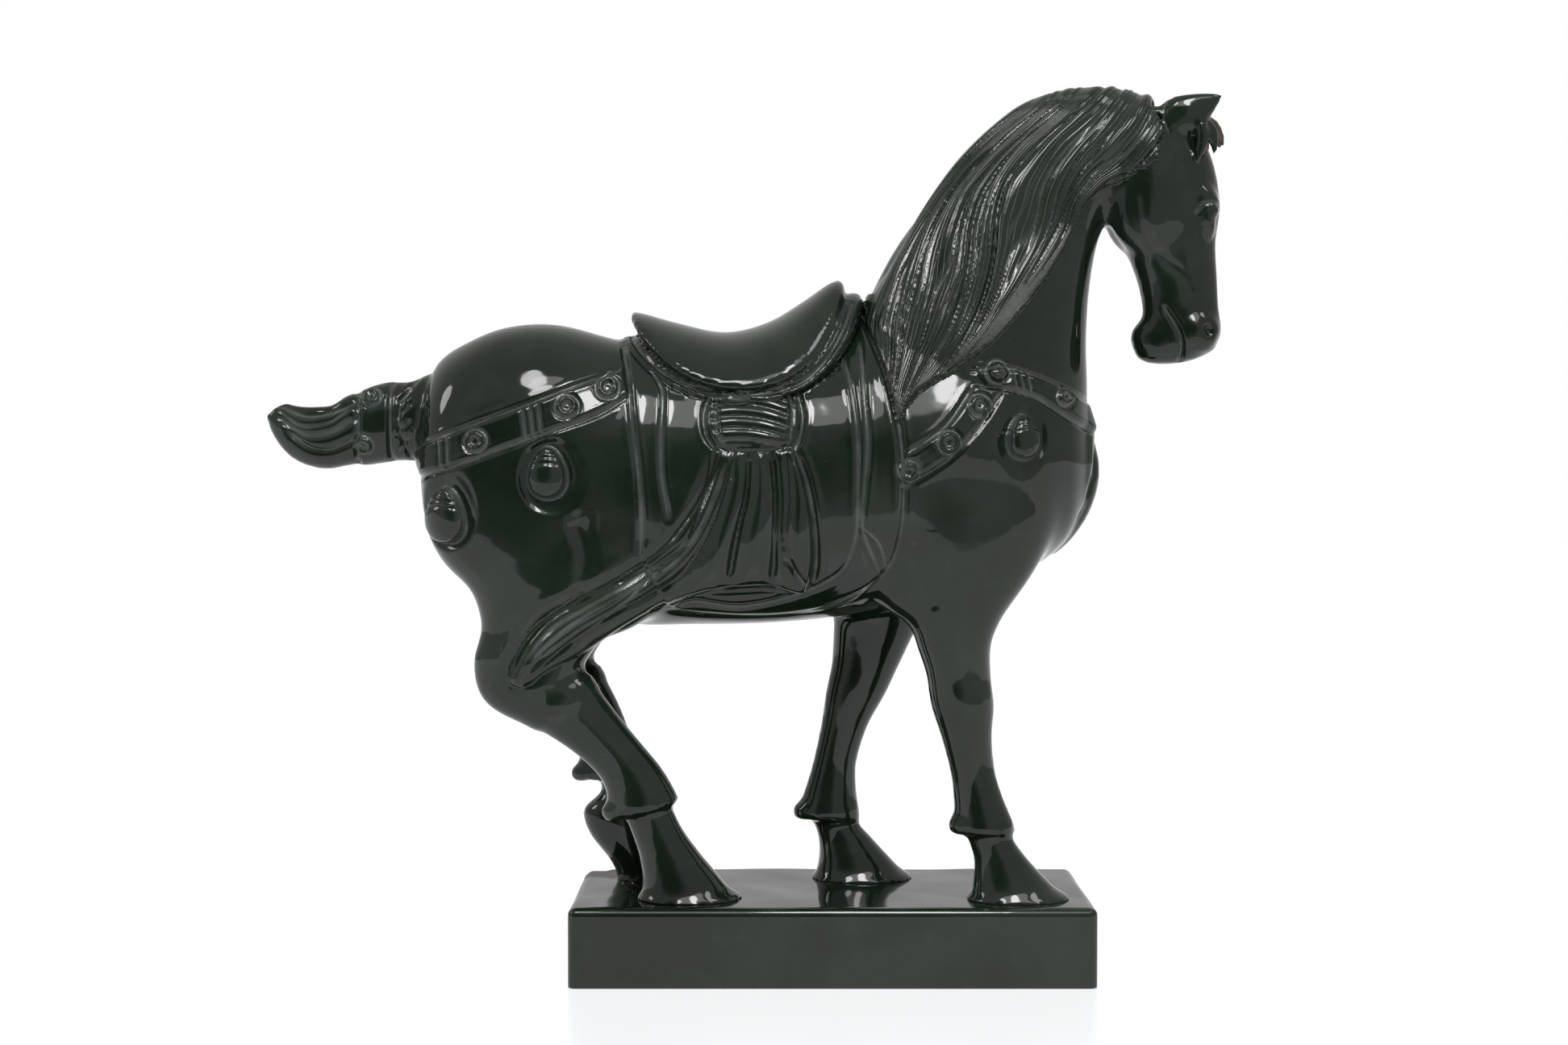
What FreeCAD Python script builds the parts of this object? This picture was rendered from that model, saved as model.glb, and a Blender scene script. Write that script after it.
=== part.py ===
"""A carved jade saddle horse on its plinth, as an assembly of closed solids, in millimetres.

+X is the way the horse faces, +Z is up, and the origin is the middle of the plinth's underside.
Every limb is a loft through elliptical rings. A ring has a centre, a depth measured in the plane
of the horse's side view, a width across the horse, and a tilt about +Y: at tilt 0 the ring lies
level and at tilt 90 it stands square across the horse.
"""

import FreeCAD, Part
import os
import Sketcher

Vector = FreeCAD.Vector

# Further out from the middle than any part of the horse.
REACH = 60

doc = FreeCAD.newDocument("jade_horse")
sheet = doc.addObject("Spreadsheet::Sheet", "dims")

# ---------------------------------------------------------------- driving dimensions

SIZES = {
    "plinth_length": 145.0,
    "plinth_depth": 60.0,
    "plinth_height": 22.0,
    "plinth_round": 1.8,
    "cloth_relief": 1.2,
    "mane_relief": 2.0,
    "strap_relief": 1.0,
    "strap_width": 7.0,
    "pad_relief": 2.6,
    "band_relief": 0.8,
    "stud_radius": 2.8,
    "stud_reach": 2.0,
    "tassel_reach": 3.0,
    "chest_tassel_width": 11.0,
    "chest_tassel_length": 24.0,
    "knot_length": 23.0,
    "knot_reach": 4.5,
    "knot_height": 16.0,
    "eye_radius": 2.2,
    "forelock_length": 19.0,
    "forelock_width": 11.0,
    "forelock_height": 8.5,
    "tail_band_length": 8.5,
    "tail_band_radius": 11.3,
}

# Rings of each limb: x, z, depth, width, tilt.
RINGS = {
    "torso": [
        (-116.5, 151, 16, 12, 90, 0),
        (-112, 150.5, 41, 30, 90, 0),
        (-103, 148.5, 57, 44, 90, 0),
        (-91, 146, 72, 54, 90, 0),
        (-77, 144, 77, 58, 90, 0),
        (-59, 138, 80, 58, 90, 0),
        (-38, 136, 77, 59, 90, 0),
        (-16, 136.5, 77, 60, 90, 0),
        (4, 139, 78, 60, 90, 0),
        (24, 142, 76, 58, 90, 0),
        (42, 143, 68, 54, 90, 0),
        (58, 143.5, 54, 46, 90, 0),
        (69, 143, 36, 32, 90, 0),
        (74, 142.5, 12, 11, 90, 0),
    ],
    "neck": [
        (38, 152, 62, 44, 8, 0),
        (39.5, 170, 65, 40, 12, 0),
        (43.5, 187, 58, 34, 18, 0),
        (50, 204, 49, 29, 26, 0),
        (57.5, 219, 42, 25.5, 36, 0),
        (68, 230, 36, 23, 55, 0),
        (79, 233, 31, 21, 78, 0),
        (89, 232, 27, 19, 92, 0),
    ],
    "head": [
        (84, 235, 24, 17, 140, 0),
        (91.5, 226.5, 33, 23, 155, 0),
        (93.5, 214.5, 34, 24, 170, 0),
        (94.6, 203, 29.5, 21.5, 176, 0),
        (97.8, 193, 23.5, 17.5, 178, 0),
        (98.7, 185.5, 23.2, 15.5, 180, 0),
        (98.3, 180, 25, 16.5, 182, 0),
        (97.8, 175.3, 20.5, 14, 184, 0),
        (97.2, 172.2, 9, 7, 184, 0),
    ],
    "ear": [
        (93.5, 236.5, 8, 5.5, 55, 4.5),
        (99, 240.5, 9, 5.5, 55, 6),
        (104.2, 244, 6.8, 4, 57, 7),
        (108.4, 247, 3.4, 2.2, 60, 8),
        (110.4, 248.4, 0.9, 0.7, 60, 8.6),
    ],
    "leg_front_right": [
        (36, 130, 38, 17, 0, 14),
        (36, 113, 37, 21, 0, 14.5),
        (33.5, 98, 25, 18, 0, 15),
        (35.4, 85, 17.8, 14.5, 0, 15),
        (36.7, 77, 17, 14.5, 0, 15),
        (38.2, 66, 13.6, 11.8, 0, 15),
        (40, 56, 12.6, 11, 0, 15),
        (41.9, 48, 15.2, 12.5, 0, 15),
        (42.8, 41.5, 17, 13.5, 0, 15),
    ],
    "hoof_front_right": [
        (44.6, 41.5, 12.4, 10.8, 0, 15),
        (45.6, 37.5, 12.8, 11, 0, 15),
        (47.8, 32.5, 15.4, 12.4, 0, 15),
        (49.9, 27, 20.6, 16, 0, 15),
        (51.7, 22, 26.8, 20, 0, 15),
    ],
    "leg_front_left": [
        (29, 130, 38, 17, 0, 14),
        (21, 112, 34, 21, 0, 14.5),
        (15, 98, 26, 17.5, 0, 15),
        (9.7, 81, 19.8, 14.5, 0, 15),
        (6.2, 72, 15.6, 13, 0, 15),
        (3.2, 62, 12.7, 11.3, 0, 15),
        (1.3, 53, 13.5, 11, 0, 15),
        (0.2, 46.5, 16.8, 12.5, 0, 15),
        (-0.7, 40.5, 17.4, 13.2, 0, 15),
    ],
    "hoof_front_left": [
        (1.6, 40.5, 12.8, 10.8, 0, 15),
        (2.2, 37, 13.4, 11, 0, 15),
        (4.9, 32.5, 16.4, 12.5, 0, 15),
        (7.2, 27, 21.6, 16, 0, 15),
        (9, 22, 27.4, 20, 0, 15),
    ],
    "leg_hind": [
        (-80, 142, 48, 20, 0, 15),
        (-82, 123, 47, 24, 0, 15),
        (-77, 108, 42, 24, 0, 15),
        (-79.8, 97.5, 33, 20.5, 0, 14.8),
        (-83, 89.5, 32, 18.5, -4, 14.6),
        (-83.2, 82.5, 29.5, 17, -16, 14.5),
        (-74.2, 76, 20.5, 14.5, -32, 14.5),
    ],
    "cannon_hind_right": [
        (-74.2, 76, 20.5, 14.5, -32, 14.5),
        (-65.3, 68, 15.8, 12.5, -43, 14.5),
        (-58, 59.8, 15.6, 12.3, -38, 14.5),
        (-54.2, 52.4, 18.4, 13.5, -20, 14.5),
        (-52.9, 46.2, 19.4, 14.2, -6, 14.5),
        (-52.4, 42.5, 16.8, 13.4, 0, 14.5),
    ],
    "hoof_hind_right": [
        (-48.9, 42.5, 12.4, 11, 0, 14.5),
        (-47.4, 38.8, 15, 12, 0, 14.5),
        (-44.8, 33.5, 18.4, 13.8, 0, 14.5),
        (-41.9, 27.4, 22, 17, 0, 14.5),
        (-39.7, 22, 27.4, 20, 0, 14.5),
    ],
    "cannon_hind_left": [
        (-74.2, 76, 20.5, 14.5, -32, 14.5),
        (-67.8, 67.2, 16, 12.5, -32, 14.5),
        (-64.4, 57.5, 18, 12.8, -14, 14.5),
        (-63.6, 50.5, 17.4, 13.2, 0, 14.5),
    ],
    "hoof_hind_left": [
        (-61.2, 50.5, 12, 10.4, 0, 14.5),
        (-61.3, 46.5, 11.8, 10.2, 0, 14.5),
        (-62.2, 40, 16.4, 13.2, 4, 14.5),
        (-60.9, 32.5, 15.8, 13.4, 6, 14.5),
        (-58.8, 26, 12.8, 12.2, 4, 14.5),
        (-57.4, 22, 11.2, 11, 0, 14.5),
    ],
    "tail_dock": [
        (-106, 156.5, 25, 17, 90, 0),
        (-114, 156, 24.5, 16.5, 90, 0),
        (-120, 155.4, 23.4, 15.8, 90, 0),
        (-125.5, 155, 23.6, 15.8, 90, 0),
    ],
    "tail_tip": [
        (-134, 152.6, 20.2, 14.6, 90, 0),
        (-141, 151.4, 18.8, 13.6, 102, 0),
        (-148, 152.8, 15.6, 11.4, 118, 0),
        (-154, 156.2, 11, 8, 135, 0),
        (-158, 159.8, 6, 4.6, 150, 0),
        (-159.6, 161.8, 2.2, 1.8, 155, 0),
    ],
    "saddle_seat": [
        (-58.5, 158, 58, 40, 90, 0),
        (-53, 155, 62, 50, 90, 0),
        (-42, 150, 63, 58, 90, 0),
        (-29, 148, 65, 62, 90, 0),
        (-17, 149, 69.5, 61, 90, 0),
        (-7, 153, 73, 54, 90, 0),
        (0.5, 158, 72.5, 38, 90, 0),
        (3, 160, 66, 34, 90, 0),
    ],
    "sash_drape": [
        (-22, 147, 23, 10, 4, 28.5),
        (-21.5, 134, 27, 10, 14, 28),
        (-31, 119, 32, 11, 38, 27),
        (-49.5, 109, 25, 11, 52, 26),
        (-68, 98.5, 19, 10, 52, 25),
        (-80.5, 90.5, 12, 8, 52, 24),
        (-87.5, 84.5, 4, 3.5, 50, 23),
    ],
}
FIELDS = ("x", "z", "depth", "width", "tilt", "aside")

# Outlines in the side view, x and z, each closed by its last side.
OUTLINES = {
    "mane_edge": [
        (4, 190), (20, 214), (38, 240), (60, 256), (94, 256), (96, 244), (93.5, 231), (84, 224.5),
        (72.5, 220), (66, 207), (57, 193), (45, 180), (33, 169), (20, 158), (15, 168), (8, 184),
    ],
    "cloth_edge": [
        (-60, 190), (10, 190), (18, 170), (24, 154), (25.5, 140), (25, 125), (22, 113), (14, 103),
        (0, 92), (-70, 92), (-56, 106), (-55, 120), (-58, 135), (-60, 155),
    ],
    "seat_edge": [
        (-58, 200), (3, 200), (3.4, 187), (1, 178), (-4.5, 170), (-14, 164.2), (-26, 162),
        (-38, 164), (-47.5, 169.5), (-54, 177), (-58, 183),
    ],
    "pad_edge": [
        (-61, 196), (7.5, 196), (8.2, 186), (5, 175), (-1, 166.5), (-12, 160.5), (-26, 158.2),
        (-40, 160.2), (-51, 166), (-57.5, 172.5), (-61, 181),
    ],
}

# Straps in the side view: middle x and z, length, and slope in degrees up towards the head.
STRAPS = {
    "croup_strap": (-92, 150.5, 66, 23),
    "shoulder_strap": (34, 150.2, 33, 44),
    "breast_collar": (66, 160.5, 46, -30),
}

# Studs in the side view: x and z.
STUDS = {
    "croup_stud": [(-97.5, 149.2), (-73, 158.5), (-62, 164.4)],
    "shoulder_stud": [(31, 148.2), (40, 156.9)],
    "collar_stud": [(45.2, 166.6), (62, 161.5)],
}

# The middle of the tassel that hangs at the front of the chest: x, y and z.
CHEST_TASSEL = (69.5, 0, 128.5)

# The middles of an eye and of a sash knot in the side view: x and z.
EYE = (105.2, 213.4)
KNOT = (-22.3, 154.8)

# The middle of the forelock.
FORELOCK = (102.5, 236)

# Tassels in the side view: x and z of the middle of the drop, its length and its width.
TASSELS = {
    "croup_tassel": [(-107.5, 131.5, 18, 10.5), (-77.8, 139.5, 17, 12)],
    "collar_tassel": [(50.3, 150.4, 20, 13)],
}


def fill_sheet():
    """A row for each named size, then one for each ring and each corner of an outline."""
    row = 1
    for name, value in SIZES.items():
        sheet.set(f"A{row}", name)
        sheet.set(f"B{row}", str(value))
        sheet.setAlias(f"B{row}", name)
        row += 1
    tables = [(RINGS, FIELDS), (OUTLINES, FIELDS[:2])]
    for table, fields in tables:
        for name, rows in table.items():
            for i, values in enumerate(rows):
                sheet.set(f"A{row}", f"{name} {i}")
                for column, field, value in zip("BCDEFG", fields, values):
                    sheet.set(f"{column}{row}", str(value))
                    sheet.setAlias(f"{column}{row}", f"{name}_{i}_{field}")
                row += 1
    doc.recompute()


def size(name):
    return float(sheet.get(name))


# ---------------------------------------------------------------- shapes used more than once


def ring(limb, i, side, swell):
    """Ring i of a limb on one side of the horse, made thicker all round by swell."""
    name = f"dims.{limb}_{i}"
    made = doc.addObject("Part::Ellipse", f"{limb}_ring_{i}")
    place = f"create(<<vector>>; {name}_x; {side} * {name}_aside; {name}_z)"
    turn = f"create(<<rotation>>; create(<<vector>>; 0; 1; 0); {name}_tilt)"
    made.setExpression("Placement", f"create(<<placement>>; {place}; {turn})")
    made.setExpression("MajorRadius", f"{name}_depth / 2 + {swell}")
    made.setExpression("MinorRadius", f"{name}_width / 2 + {swell}")
    return made


def loft(limb, side=0, swell="0", first=0):
    """A limb's solid through its rings, or from ring first on."""
    made = doc.addObject("Part::Loft", f"{limb}_loft")
    made.Sections = [ring(limb, i, side, swell) for i in range(first, len(RINGS[limb]))]
    made.Solid = True
    return made


def cut(base, *tools):
    """base with every tool taken away, so that it meets them face to face."""
    for tool in tools:
        made = doc.addObject("Part::Cut", f"{base.Name}_cut")
        made.Base = base
        made.Tool = tool
        base = made
    return base


def common(a, b):
    made = doc.addObject("Part::Common", f"{a.Name}_common")
    made.Base = a
    made.Tool = b
    return made


def prism(outline):
    """A side-view outline carried right across the horse. Its corners are sketch constraints."""
    points = OUTLINES[outline]
    sketch = doc.addObject("Sketcher::SketchObject", f"{outline}_sketch")
    sketch.Placement = FreeCAD.Placement(Vector(0, 0, 0), FreeCAD.Rotation(Vector(1, 0, 0), 90))
    for i, (x, z) in enumerate(points):
        after_x, after_z = points[(i + 1) % len(points)]
        sketch.addGeometry(Part.LineSegment(Vector(x, z, 0), Vector(after_x, after_z, 0)), False)
    for i, corner in enumerate(points):
        sketch.addConstraint(Sketcher.Constraint("Coincident", i, 2, (i + 1) % len(points), 1))
        for axis, field, value in zip("XY", FIELDS, corner):
            pin = sketch.addConstraint(Sketcher.Constraint(f"Distance{axis}", -1, 1, i, 1, value))
            sketch.renameConstraint(pin, f"{field}{i}")
            sketch.setExpression(f"Constraints.{field}{i}", f"dims.{outline}_{i}_{field}")
    made = doc.addObject("Part::Extrusion", f"{outline}_prism")
    made.Base = sketch
    made.DirMode = "Normal"
    made.Symmetric = True
    made.Solid = True
    made.LengthFwd = 2 * REACH
    return made


def slab(name, x, z, length, slope, side):
    """A strap-wide slab sloping up towards the head, on one side or, with side 0, right across."""
    made = doc.addObject("Part::Box", f"{name}_slab")
    made.Length = length
    made.Width = REACH if side else 2 * REACH
    made.setExpression("Height", "dims.strap_width")
    turn = FreeCAD.Rotation(Vector(0, 1, 0), -slope)
    near_y = 0 if side == 1 else -REACH
    corner = turn.multVec(Vector(-length / 2, near_y, -size("strap_width") / 2))
    made.Placement = FreeCAD.Placement(Vector(x, 0, z) + corner, turn)
    return made


def lump(name, x, y, z, rx, ry, rz, slope=0):
    """An ellipsoid whose three half-sizes are expressions, sloping up towards the head."""
    made = doc.addObject("Part::Ellipsoid", name)
    made.Angle1 = -90
    made.Angle2 = 90
    made.setExpression("Radius2", rx)
    made.setExpression("Radius3", ry)
    made.setExpression("Radius1", rz)
    turn = FreeCAD.Rotation(Vector(0, 1, 0), -slope)
    made.Placement = FreeCAD.Placement(Vector(x, y, z), turn)
    return made


def skin(shapes, x, z, side):
    """How far out from the middle the outermost of the shapes reaches at x and z, on one side."""
    line = Part.makeLine(Vector(x, 0, z), Vector(x, side * REACH, z))
    reach = [v.Point.y for s in shapes for v in s.Shape.common(line).Vertexes]
    return max(reach, key=abs)


NODES = []


def node(thing, label):
    """Marks a finished sub-part. Its label names its file."""
    thing.Label = label
    NODES.append(thing)
    return thing


# ---------------------------------------------------------------- the model

fill_sheet()

body = doc.addObject("PartDesign::Body", "plinth_body")
base_plane = next(f for f in body.Origin.OriginFeatures if f.Role == "XY_Plane")
outline = body.newObject("Sketcher::SketchObject", "plinth_outline")
outline.AttachmentSupport = (base_plane, [""])
outline.MapMode = "FlatFace"
half_length = size("plinth_length") / 2
half_depth = size("plinth_depth") / 2
corners = [
    Vector(-half_length, -half_depth, 0),
    Vector(half_length, -half_depth, 0),
    Vector(half_length, half_depth, 0),
    Vector(-half_length, half_depth, 0),
]
for i in range(4):
    outline.addGeometry(Part.LineSegment(corners[i], corners[(i + 1) % 4]), False)
for i in range(4):
    outline.addConstraint(Sketcher.Constraint("Coincident", i, 2, (i + 1) % 4, 1))
    outline.addConstraint(Sketcher.Constraint(("Horizontal", "Vertical")[i % 2], i))
outline.addConstraint(Sketcher.Constraint("Symmetric", 0, 1, 1, 2, -1, 1))
for edge, name in ((0, "plinth_length"), (1, "plinth_depth")):
    pin = outline.addConstraint(Sketcher.Constraint("Distance", edge, size(name)))
    outline.renameConstraint(pin, name)
    outline.setExpression(f"Constraints.{name}", f"dims.{name}")
pad = body.newObject("PartDesign::Pad", "plinth_pad")
pad.Profile = outline
pad.setExpression("Length", "dims.plinth_height")
doc.recompute()
top_edges = [
    f"Edge{i + 1}"
    for i, edge in enumerate(pad.Shape.Edges)
    if edge.BoundBox.ZMax > size("plinth_height") - 0.1
]
fillet = body.newObject("PartDesign::Fillet", "plinth_rounding")
fillet.Base = (pad, top_edges)
fillet.setExpression("Radius", "dims.plinth_round")
body.Tip = fillet
node(body, "plinth")

torso = node(loft("torso"), "torso")
neck_loft = loft("neck")
neck = node(cut(neck_loft, torso), "neck")
head_loft = loft("head")
head = node(cut(head_loft, neck), "head")

# Saddlery lies on the barrel in layers, each the torso grown a little more.
cloth_skin = loft("torso", swell="dims.cloth_relief")
pad_skin = loft("torso", swell="dims.pad_relief")
cloth = node(cut(common(cloth_skin, prism("cloth_edge")), torso, neck_loft), "saddle_cloth")
pad_layer = common(pad_skin, prism("pad_edge"))
saddle_pad = node(cut(pad_layer, cloth_skin, neck_loft), "saddle_pad")
seat_layer = common(loft("saddle_seat"), prism("seat_edge"))
seat = node(cut(seat_layer, pad_skin, neck_loft), "saddle_seat")

# The mane is the neck grown a little, kept along the crest.
mane_layer = common(loft("neck", swell="dims.mane_relief"), prism("mane_edge"))
mane = node(cut(mane_layer, neck_loft, torso, head_loft, cloth, saddle_pad, seat), "mane")
forelock_lump = lump(
    "forelock_lump", FORELOCK[0], 0, FORELOCK[1], "dims.forelock_length / 2",
    "dims.forelock_width / 2", "dims.forelock_height / 2", -50,
)
forelock = node(cut(forelock_lump, head, neck, mane), "forelock")

legs = {}
for limb in ("front_right", "front_left", "hind_right", "hind_left"):
    side = -1 if limb.endswith("right") else 1
    if limb.startswith("hind"):
        leg = loft("leg_hind", side)
        node(loft(f"cannon_{limb}", side), f"cannon_{limb}")
    else:
        leg = loft(f"leg_{limb}", side)
    legs[limb] = node(cut(leg, torso, cloth), f"leg_{limb}")
    node(loft(f"hoof_{limb}", side), f"hoof_{limb}")

tail_dock = node(cut(loft("tail_dock"), torso), "tail_dock")
tail_band = doc.addObject("Part::Cylinder", "tail_band")
tail_band.setExpression("Radius", "dims.tail_band_radius")
tail_band.setExpression("Height", "dims.tail_band_length")
tail_band.Placement = FreeCAD.Placement(
    Vector(RINGS["tail_dock"][-1][0], 0, RINGS["tail_dock"][-1][1]),
    FreeCAD.Rotation(Vector(0, 1, 0), -90),
)
node(tail_band, "tail_band")
node(loft("tail_tip"), "tail_brush")

# The straps are the horse's own skin grown a little, kept inside a slanting slab.
strap_skin = loft("torso", swell="dims.strap_relief")
straps = []
for name, place in STRAPS.items():
    sides = {"": 0} if name == "breast_collar" else {"_right": -1, "_left": 1}
    for ending, side in sides.items():
        band = common(strap_skin, slab(name, *place, side))
        strap = cut(band, torso, neck_loft, cloth, tail_dock, mane)
        straps.append(node(strap, name + ending))
doc.recompute()

for side, hand in ((-1, "right"), (1, "left")):
    ear = loft("ear", side)
    node(cut(ear, head, neck, mane), f"ear_{hand}")
    eye_y = skin([head], *EYE, side)
    eye = lump(f"eye_lump_{hand}", EYE[0], eye_y, EYE[1], *["dims.eye_radius"] * 3)
    node(cut(eye, head), f"eye_{hand}")

    knot_y = skin([cloth], *KNOT, side)
    half_sizes = [f"dims.knot_{way} / 2" for way in ("length", "height")]
    knot = lump(
        f"knot_lump_{hand}", KNOT[0], knot_y, KNOT[1], half_sizes[0], "dims.knot_reach", half_sizes[1]
    )
    knot = node(cut(knot, torso, cloth, saddle_pad, seat), f"sash_knot_{hand}")
    drape = loft("sash_drape", side)
    node(cut(drape, torso, cloth, knot, legs[f"hind_{hand}"], saddle_pad), f"sash_drape_{hand}")

    for group, places in STUDS.items():
        for n, (x, z) in enumerate(places, 1):
            y = skin([torso, neck], x, z, side)
            stud = lump(f"{group}_lump", x, y, z, *["dims.stud_radius"] * 3)
            stud.setExpression("Radius3", "dims.stud_reach")
            stud = cut(stud, torso, neck, *straps, cloth, mane)
            node(stud, f"{group}_{hand}_{n}")
    for group, places in TASSELS.items():
        for n, (x, z, length, width) in enumerate(places, 1):
            y = skin([torso, legs[f"hind_{hand}"]], x, z, side)
            drop = lump(
                f"{group}_lump", x, y, z, f"{width / 2}", "dims.tassel_reach", f"{length / 2}"
            )
            drop = cut(drop, torso, neck, *straps, cloth, legs[f"hind_{hand}"])
            node(drop, f"{group}_{hand}_{n}")
chest_drop = lump(
    "chest_tassel_lump", *CHEST_TASSEL, "dims.tassel_reach", "dims.chest_tassel_width / 2",
    "dims.chest_tassel_length / 2", 32,
)
node(cut(chest_drop, torso, *straps), "chest_tassel")
doc.recompute()

# ---------------------------------------------------------------- checks and export

for thing in doc.Objects:
    if "Invalid" in thing.State or "Error" in thing.State:
        raise RuntimeError(f"{thing.Name} failed: {thing.State}")
for thing in NODES:
    if thing.Shape.isNull() or not thing.Shape.isValid():
        raise RuntimeError(f"{thing.Label} has no good shape")

os.makedirs("parts", exist_ok=True)
for thing in NODES:
    thing.Shape.exportStep(f"parts/{thing.Label}.step")
    print(f"{thing.Label}: {len(thing.Shape.Solids)} solid, {thing.Shape.Volume / 1000:.2f} cm3")
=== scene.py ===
"""A walking saddle horse carved from dark green nephrite, on its plinth.

The horse is one smooth volume, worked out on a grid in millimetres from limbs of tapering rings,
and then cut in relief: saddlery, sash, harness, mane and tail are heights laid on its skin from
lines drawn in the side view, with x towards the head and z up. The skin is then parted into the
carving's regions, and their shading runs on across the seams.
"""

import math

import bmesh
import bpy
import numpy as np
import openvdb
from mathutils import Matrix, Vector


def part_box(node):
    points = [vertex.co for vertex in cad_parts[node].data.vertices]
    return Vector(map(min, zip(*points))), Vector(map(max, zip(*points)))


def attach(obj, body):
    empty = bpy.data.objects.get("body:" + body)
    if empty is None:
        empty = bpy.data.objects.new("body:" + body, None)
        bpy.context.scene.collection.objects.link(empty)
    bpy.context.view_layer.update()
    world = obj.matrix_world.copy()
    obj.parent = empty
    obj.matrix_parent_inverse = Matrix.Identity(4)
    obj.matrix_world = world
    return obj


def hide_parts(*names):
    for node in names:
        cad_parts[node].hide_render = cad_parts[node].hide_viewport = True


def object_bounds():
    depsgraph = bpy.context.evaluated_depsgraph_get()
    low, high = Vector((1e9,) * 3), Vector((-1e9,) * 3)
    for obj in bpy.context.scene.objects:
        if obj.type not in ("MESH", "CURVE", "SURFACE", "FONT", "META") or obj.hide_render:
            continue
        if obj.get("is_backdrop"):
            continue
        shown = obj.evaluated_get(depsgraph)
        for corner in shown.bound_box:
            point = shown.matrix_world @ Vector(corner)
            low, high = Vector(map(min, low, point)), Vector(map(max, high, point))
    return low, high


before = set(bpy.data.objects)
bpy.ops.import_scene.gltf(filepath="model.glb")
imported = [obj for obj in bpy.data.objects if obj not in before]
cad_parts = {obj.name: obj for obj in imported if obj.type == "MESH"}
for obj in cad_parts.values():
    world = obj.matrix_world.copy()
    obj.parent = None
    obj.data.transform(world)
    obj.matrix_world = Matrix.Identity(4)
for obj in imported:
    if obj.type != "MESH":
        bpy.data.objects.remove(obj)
cad_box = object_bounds()

MM = 0.001
CELL = 1.0
PLINTH_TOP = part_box("plinth")[1][2] / MM

# ---- curves and distances


def smooth_line(points, per_span=8):
    """Catmull-Rom curve through rows of numbers."""
    p = np.array(points, float)
    if len(p) < 3:
        return p
    p = np.vstack([2 * p[0] - p[1], p, 2 * p[-1] - p[-2]])
    t = np.linspace(0, 1, per_span, endpoint=False)[:, None]
    spans = []
    for a, b, c, d in zip(p, p[1:], p[2:], p[3:]):
        curve = 2 * b + (c - a) * t + (2 * a - 5 * b + 4 * c - d) * t**2
        spans.append((curve + (3 * b - a - 3 * c + d) * t**3) / 2)
    return np.vstack([*spans, p[-2]])


def line_distance(x, z, line):
    """Distance to a line, how far along it, 0 to 1, and which side: positive on its left."""
    best = np.full(x.shape, 1e9)
    along = np.zeros(x.shape)
    side = np.zeros(x.shape)
    steps = np.hypot(*np.diff(line, axis=0).T)
    start = np.concatenate([[0], np.cumsum(steps)])
    for (ax, az), (bx, bz), length, run in zip(line, line[1:], steps, start):
        dx, dz = bx - ax, bz - az
        t = np.clip(((x - ax) * dx + (z - az) * dz) / max(length**2, 1e-9), 0, 1)
        d = np.hypot(x - ax - t * dx, z - az - t * dz)
        near = d < best
        best = np.where(near, d, best)
        along = np.where(near, (run + t * length) / start[-1], along)
        side = np.where(near, np.sign(dx * (z - az) - dz * (x - ax)), side)
    return best, along, side


def inside(x, z, outline):
    """Signed distance to a closed outline, negative inside it."""
    ring = np.vstack([outline, outline[:1]])
    d, _, _ = line_distance(x, z, ring)
    odd = np.zeros(x.shape, bool)
    for (ax, az), (bx, bz) in zip(ring, ring[1:]):
        if az == bz:
            continue
        crosses = (az > z) != (bz > z)
        odd ^= crosses & (x < ax + (z - az) * (bx - ax) / (bz - az))
    return np.where(odd, -d, d)


def step(d, width):
    """0 below -width/2, 1 above width/2, and smooth between."""
    t = np.clip(d / width + 0.5, 0, 1)
    return t * t * (3 - 2 * t)


# ---- the volume

LOW = np.array([-166.0, -36.0, 14.0])
HIGH = np.array([118.0, 36.0, 256.0])
COUNT = np.ceil((HIGH - LOW) / CELL).astype(int) + 1
AXES = [LOW[i] + CELL * np.arange(COUNT[i]) for i in range(3)]
FAR = 8.0
volume = np.full(COUNT, FAR, np.float32)
nearest = np.full(COUNT, FAR, np.float32)
region = np.zeros(COUNT, np.uint8)
REGIONS = ["none"]


def patch(low, high):
    """The grid cells of a box, and their x, y and z."""
    cells = []
    for i in range(3):
        a = int(np.clip(math.floor((low[i] - LOW[i]) / CELL), 0, COUNT[i] - 1))
        b = int(np.clip(math.ceil((high[i] - LOW[i]) / CELL) + 1, a + 1, COUNT[i]))
        cells.append(slice(a, b))
    x, y, z = (AXES[i][cells[i]].astype(np.float32) for i in range(3))
    return tuple(cells), x[:, None, None], y[None, :, None], z[None, None, :]


def number(name):
    """A region's number, a new one for a new name."""
    if name not in REGIONS:
        REGIONS.append(name)
    return REGIONS.index(name)


def add(cells, d, blend, name, favour=0.0):
    """Joins a distance to the volume, with a fillet of about the size of blend."""
    d = np.broadcast_to(d, volume[cells].shape).astype(np.float32)
    old = volume[cells]
    soft = np.maximum(blend - np.abs(old - d), 0) if blend else 0
    volume[cells] = np.minimum(old, d) - (soft * soft / (4 * blend) if blend else 0)
    closer = d - favour < nearest[cells]
    nearest[cells] = np.where(closer, d - favour, nearest[cells])
    region[cells] = np.where(closer, number(name), region[cells])


def soft_max(a, b, blend):
    """The greater of two distances, with an edge rounded by about blend."""
    soft = np.maximum(blend - np.abs(a - b), 0)
    return np.maximum(a, b) + soft * soft / (4 * blend)


def carve(cells, d, blend):
    """Takes a distance away from the volume."""
    d = -np.broadcast_to(d, volume[cells].shape).astype(np.float32)
    volume[cells] = soft_max(volume[cells], d, blend)


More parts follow.
